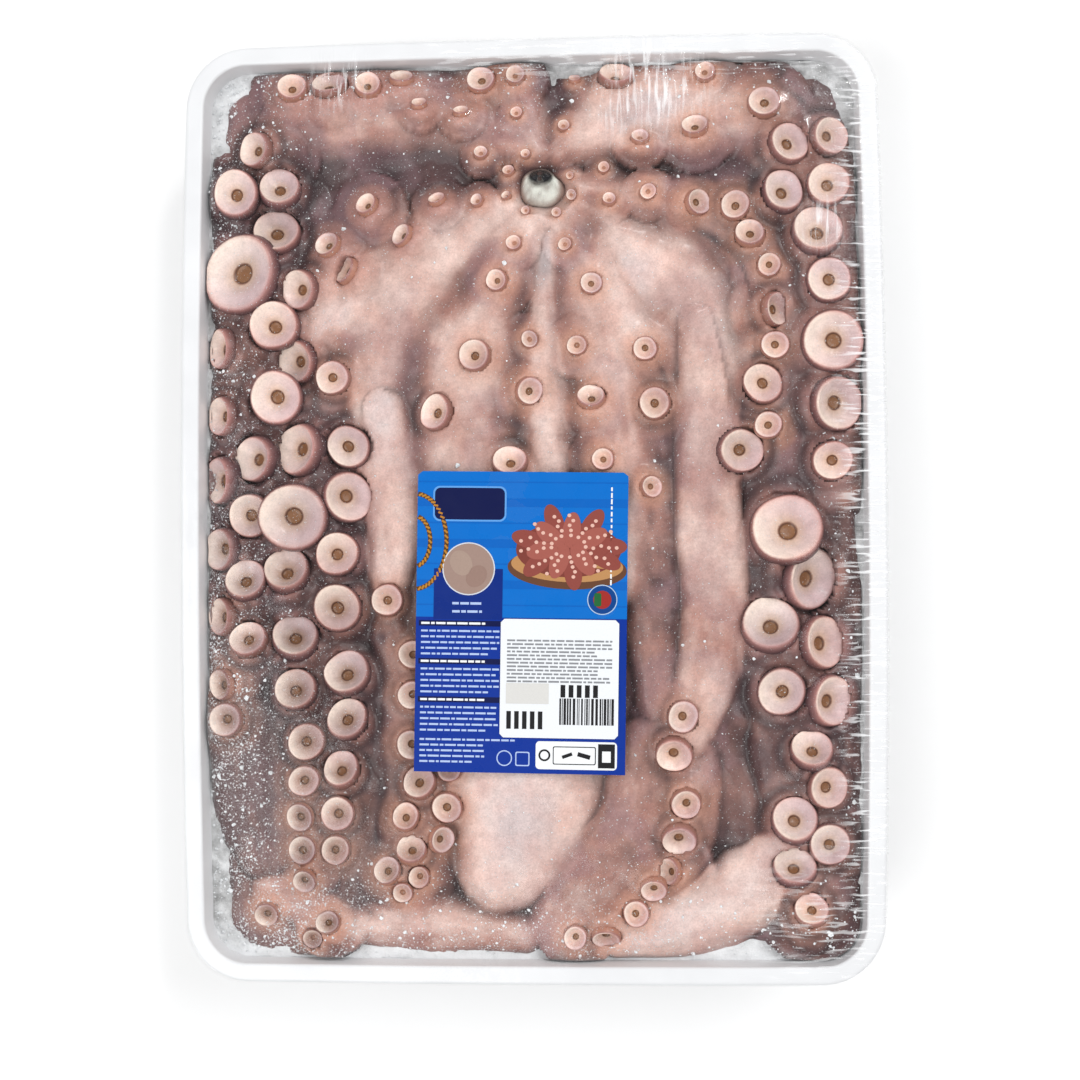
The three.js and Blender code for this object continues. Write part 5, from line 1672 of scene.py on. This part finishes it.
def sticker_print():
    """The sticker's marks, as for the label."""
    draw = np.random.default_rng(87)
    marks = [("block", -13.3, -6.3, 18, 8.6, (204, 203, 200), 0, 0, 0)]
    for row in range(12):
        marks += words(-22, 15.8 - 1.55 * row, 44 if row % 5 < 3 else 38, 0.75, GREY, 0, draw)
    for k in range(5):
        marks.append(("block", 1.6 + 3.4 * k, -5.1, 2.0, 5.2, INK, 0, 0, 0))
        marks.append(("block", -21 + 3.3 * k, -17.4, 1.9, 7.4, INK, 0, 0, 0))
    at = 0.0
    while at < 22:
        width = float(draw.choice([0.35, 0.7, 1.05]))
        marks.append(("block", 0.2 + at + width / 2, -13.6, width, 11, INK, 0, 0, 0))
        at += width + float(draw.choice([0.35, 0.7]))
    return marks


def build_label(settings):
    """The printed label on top of the film."""
    sheet = paper_sheet(LABEL_WIDTH, LABEL_LENGTH, 2.0, LABEL_CENTRE, LABEL_TURN,
                        label_surface, PAPER, AZURE)
    dress(sheet, coated_paper("label_paper", 0.3))
    settle(sheet, "label_sheet", "label_print", "label")
    press = Press(LABEL_CENTRE, LABEL_TURN, label_surface)
    for field in label_print():
        press.add(*field)
    printed = press.finish()
    dress(printed, coated_paper("label_ink", 0.3))
    settle(printed, "label_fields", "label_print", "label")


def sticker_surface(x, y):
    """Height of the sticker's underside."""
    return label_surface(x, y) + STICKER_RISE


def build_sticker(settings):
    """The white weight sticker on the label."""
    sheet = paper_sheet(STICKER_WIDTH, STICKER_LENGTH, 1.5, STICKER_CENTRE, LABEL_TURN,
                        sticker_surface, PAPER, STICKER_WHITE)
    dress(sheet, coated_paper("sticker_paper", 0.42))
    settle(sheet, "sticker_sheet", "sticker_paper", "weight_sticker")
    press = Press(STICKER_CENTRE, LABEL_TURN, sticker_surface)
    for mark in sticker_print():
        press.add(*mark)
    printed = press.finish()
    dress(printed, coated_paper("sticker_ink", 0.42))
    settle(printed, "sticker_marks", "sticker_paper", "weight_sticker")


# Stage

# The photograph's viewpoint, fitted to the tray's outline: how the pack is turned about X, Y
# and Z as the camera sees it, in radians, and where its origin lies, in millimetres.
VIEW_ANGLES = (-0.0307937856, -0.0765038804, 0.00861257214)
VIEW_SHIFT = (0.120707465, 11.406, -942.683298)
LENS = 70
SENSOR = 36

# The floor and what the lights aim at, in metres
FLOOR_SIZE = 6
LIT_POINT = (0, 0, 0.05)


def view_matrix():
    """Where the camera stands and how it is turned, in metres."""
    a, b, c = VIEW_ANGLES
    turn = (Matrix.Rotation(c, 3, "Z") @ Matrix.Rotation(b, 3, "Y") @ Matrix.Rotation(a, 3, "X"))
    back = turn.transposed()
    place = -(back @ Vector(VIEW_SHIFT)) * MM
    return Matrix.Translation(place) @ back.to_4x4()


def area_light(name, place, size, power):
    """A round soft light at a place in metres, turned to the pack."""
    light = bpy.data.lights.new(name, "AREA")
    light.shape = "DISK"
    light.size = size
    light.energy = power
    lamp = bpy.data.objects.new(name, light)
    lamp.location = place
    aim = Vector(LIT_POINT) - Vector(place)
    lamp.rotation_euler = aim.to_track_quat("-Z", "Y").to_euler()
    bpy.context.collection.objects.link(lamp)


def build_stage(settings):
    """A plain pale floor, soft studio light and the camera."""
    deselect()
    bpy.ops.mesh.primitive_grid_add(x_subdivisions=8, y_subdivisions=8, size=FLOOR_SIZE)
    floor = bpy.context.object
    floor.name = "floor"
    look = Finish("studio_floor")
    tone = settings.floor_tone
    look.link(look.ramp(look.noise(300, 2), [(0.3, tone * 0.995), (0.7, tone)]), "Base Color")
    look.plain(Roughness=0.9)
    dress(floor, look)
    scene = bpy.context.scene
    world = bpy.data.worlds.new("studio")
    world.use_nodes = True
    world.node_tree.nodes["Background"].inputs["Color"].default_value = (1.0, 1.0, 1.0, 1)
    world.node_tree.nodes["Background"].inputs["Strength"].default_value = settings.fill
    scene.world = world
    area_light("key_light", (-1.2, -0.9, 2.0), 2.3, settings.key)
    area_light("side_light", (1.4, 1.0, 1.9), 2.0, settings.key * 0.85)
    area_light("glint_light", (0.5, 1.2, 1.5), 0.18, settings.key * 0.12)
    scene.view_settings.view_transform = "Standard"
    scene.view_settings.look = "None"
    camera = bpy.data.cameras.new("camera")
    camera.lens = LENS
    camera.sensor_width = SENSOR
    view = bpy.data.objects.new("camera", camera)
    view.matrix_world = view_matrix()
    bpy.context.collection.objects.link(view)
    scene.camera = view


# Settings, operators and panel

def colour_setting(name, description, colour):
    """A colour that the panel sets, with its default as seen on screen."""
    return bpy.props.FloatVectorProperty(name=name, description=description, subtype="COLOR",
                                         size=3, min=0, max=1, default=tuple(linear(*colour)))


class OctopusSettings(bpy.types.PropertyGroup):
    """Colours and amounts that set the look of the octopus and its wrapping."""
    dark_skin: colour_setting("Dark skin", "Colour of the skin's mauve parts", (88, 62, 63))
    middle_skin: colour_setting("Skin", "Colour of most of the skin", (174, 131, 120))
    pale_skin: colour_setting("Pale skin", "Colour of the skin's palest parts", (241, 214, 204))
    frost_count: bpy.props.IntProperty(name="Frost crystals", description="Most frost crystals",
                                       default=5500, min=0, max=9000)
    crease_height: bpy.props.FloatProperty(name="Creases", description="Strength of the creases",
                                           subtype="FACTOR", default=1.0, min=0, max=2)


class OctopusStageSettings(bpy.types.PropertyGroup):
    """The floor and the lights."""
    floor_tone: bpy.props.FloatProperty(name="Floor", description="How light the floor is",
                                        subtype="FACTOR", default=0.9, min=0, max=1)
    key: bpy.props.FloatProperty(name="Key light", description="Power of the main light",
                                 subtype="POWER", default=33.0, min=0)
    fill: bpy.props.FloatProperty(name="Fill light", description="Strength of the light all round",
                                  default=0.62, min=0)


class OCTOPUS_OT_tray(bpy.types.Operator):
    """Models the open tray with its rolled rim"""
    bl_idname = "octopus.tray"
    bl_label = "Tray"

    def execute(self, context):
        build_tray(context.scene.octopus_pack)
        return {"FINISHED"}


class OCTOPUS_OT_ice(bpy.types.Operator):
    """Models the glaze ice round the octopus"""
    bl_idname = "octopus.ice"
    bl_label = "Ice"

    def execute(self, context):
        build_ice(context.scene.octopus_pack)
        return {"FINISHED"}


class OCTOPUS_OT_body(bpy.types.Operator):
    """Models the skin of the arms, the web and the mantle"""
    bl_idname = "octopus.body"
    bl_label = "Arms and mantle"

    def execute(self, context):
        build_body(context.scene.octopus_pack)
        return {"FINISHED"}


class OCTOPUS_OT_suckers(bpy.types.Operator):
    """Models every sucker and sets it on its arm"""
    bl_idname = "octopus.suckers"
    bl_label = "Suckers"

    def execute(self, context):
        build_suckers(context.scene.octopus_pack)
        return {"FINISHED"}


class OCTOPUS_OT_mouth(bpy.types.Operator):
    """Models the muscular lump of the mouth"""
    bl_idname = "octopus.mouth"
    bl_label = "Mouth"

    def execute(self, context):
        build_mouth(context.scene.octopus_pack)
        return {"FINISHED"}


class OCTOPUS_OT_beak(bpy.types.Operator):
    """Models the two jaws of the beak"""
    bl_idname = "octopus.beak"
    bl_label = "Beak"

    def execute(self, context):
        build_beak(context.scene.octopus_pack)
        return {"FINISHED"}


class OCTOPUS_OT_frost(bpy.types.Operator):
    """Scatters loose frost over the skin"""
    bl_idname = "octopus.frost"
    bl_label = "Frost"

    def execute(self, context):
        build_frost(context.scene.octopus_pack)
        return {"FINISHED"}


class OCTOPUS_OT_film(bpy.types.Operator):
    """Lays the clear film over everything"""
    bl_idname = "octopus.film"
    bl_label = "Film"

    def execute(self, context):
        build_film(context.scene.octopus_pack)
        return {"FINISHED"}


class OCTOPUS_OT_label(bpy.types.Operator):
    """Lays the printed label on the film"""
    bl_idname = "octopus.label"
    bl_label = "Label"

    def execute(self, context):
        build_label(context.scene.octopus_pack)
        return {"FINISHED"}


class OCTOPUS_OT_sticker(bpy.types.Operator):
    """Lays the weight sticker on the label"""
    bl_idname = "octopus.sticker"
    bl_label = "Weight sticker"

    def execute(self, context):
        build_sticker(context.scene.octopus_pack)
        return {"FINISHED"}


class OCTOPUS_OT_stage(bpy.types.Operator):
    """Sets the floor, the lights and the camera"""
    bl_idname = "octopus.stage"
    bl_label = "Stage"

    def execute(self, context):
        build_stage(context.scene.octopus_stage)
        return {"FINISHED"}


OPERATORS = [
    OCTOPUS_OT_tray, OCTOPUS_OT_ice, OCTOPUS_OT_body, OCTOPUS_OT_suckers,
    OCTOPUS_OT_mouth, OCTOPUS_OT_beak, OCTOPUS_OT_frost, OCTOPUS_OT_film,
    OCTOPUS_OT_label, OCTOPUS_OT_sticker, OCTOPUS_OT_stage,
]


class OCTOPUS_PT_pack(bpy.types.Panel):
    """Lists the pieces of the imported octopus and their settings."""
    bl_label = "Octopus Tray"
    bl_idname = "OCTOPUS_PT_pack"
    bl_space_type = "VIEW_3D"
    bl_region_type = "UI"
    bl_category = "Octopus Tray"

    def draw(self, context):
        column = self.layout.column(align=True)
        for kind in OPERATORS:
            column.operator(kind.bl_idname)
        for group in (context.scene.octopus_pack, context.scene.octopus_stage):
            for name in group.__annotations__:
                self.layout.prop(group, name)


CLASSES = [OctopusSettings, OctopusStageSettings, *OPERATORS, OCTOPUS_PT_pack]


def register():
    """Makes the settings, the operators and the panel known."""
    for kind in CLASSES:
        bpy.utils.register_class(kind)
    bpy.types.Scene.octopus_pack = bpy.props.PointerProperty(type=OctopusSettings)
    bpy.types.Scene.octopus_stage = bpy.props.PointerProperty(type=OctopusStageSettings)


def unregister():
    """Takes them away again."""
    del bpy.types.Scene.octopus_stage
    del bpy.types.Scene.octopus_pack
    for kind in reversed(CLASSES):
        bpy.utils.unregister_class(kind)


def main():
    """Models every piece in order."""
    register()
    bpy.ops.octopus.tray()
    bpy.ops.octopus.ice()
    bpy.ops.octopus.body()
    bpy.ops.octopus.suckers()
    bpy.ops.octopus.mouth()
    bpy.ops.octopus.beak()
    bpy.ops.octopus.frost()
    bpy.ops.octopus.film()
    bpy.ops.octopus.label()
    bpy.ops.octopus.sticker()
    bpy.ops.octopus.stage()


if __name__ == "__main__":
    main()
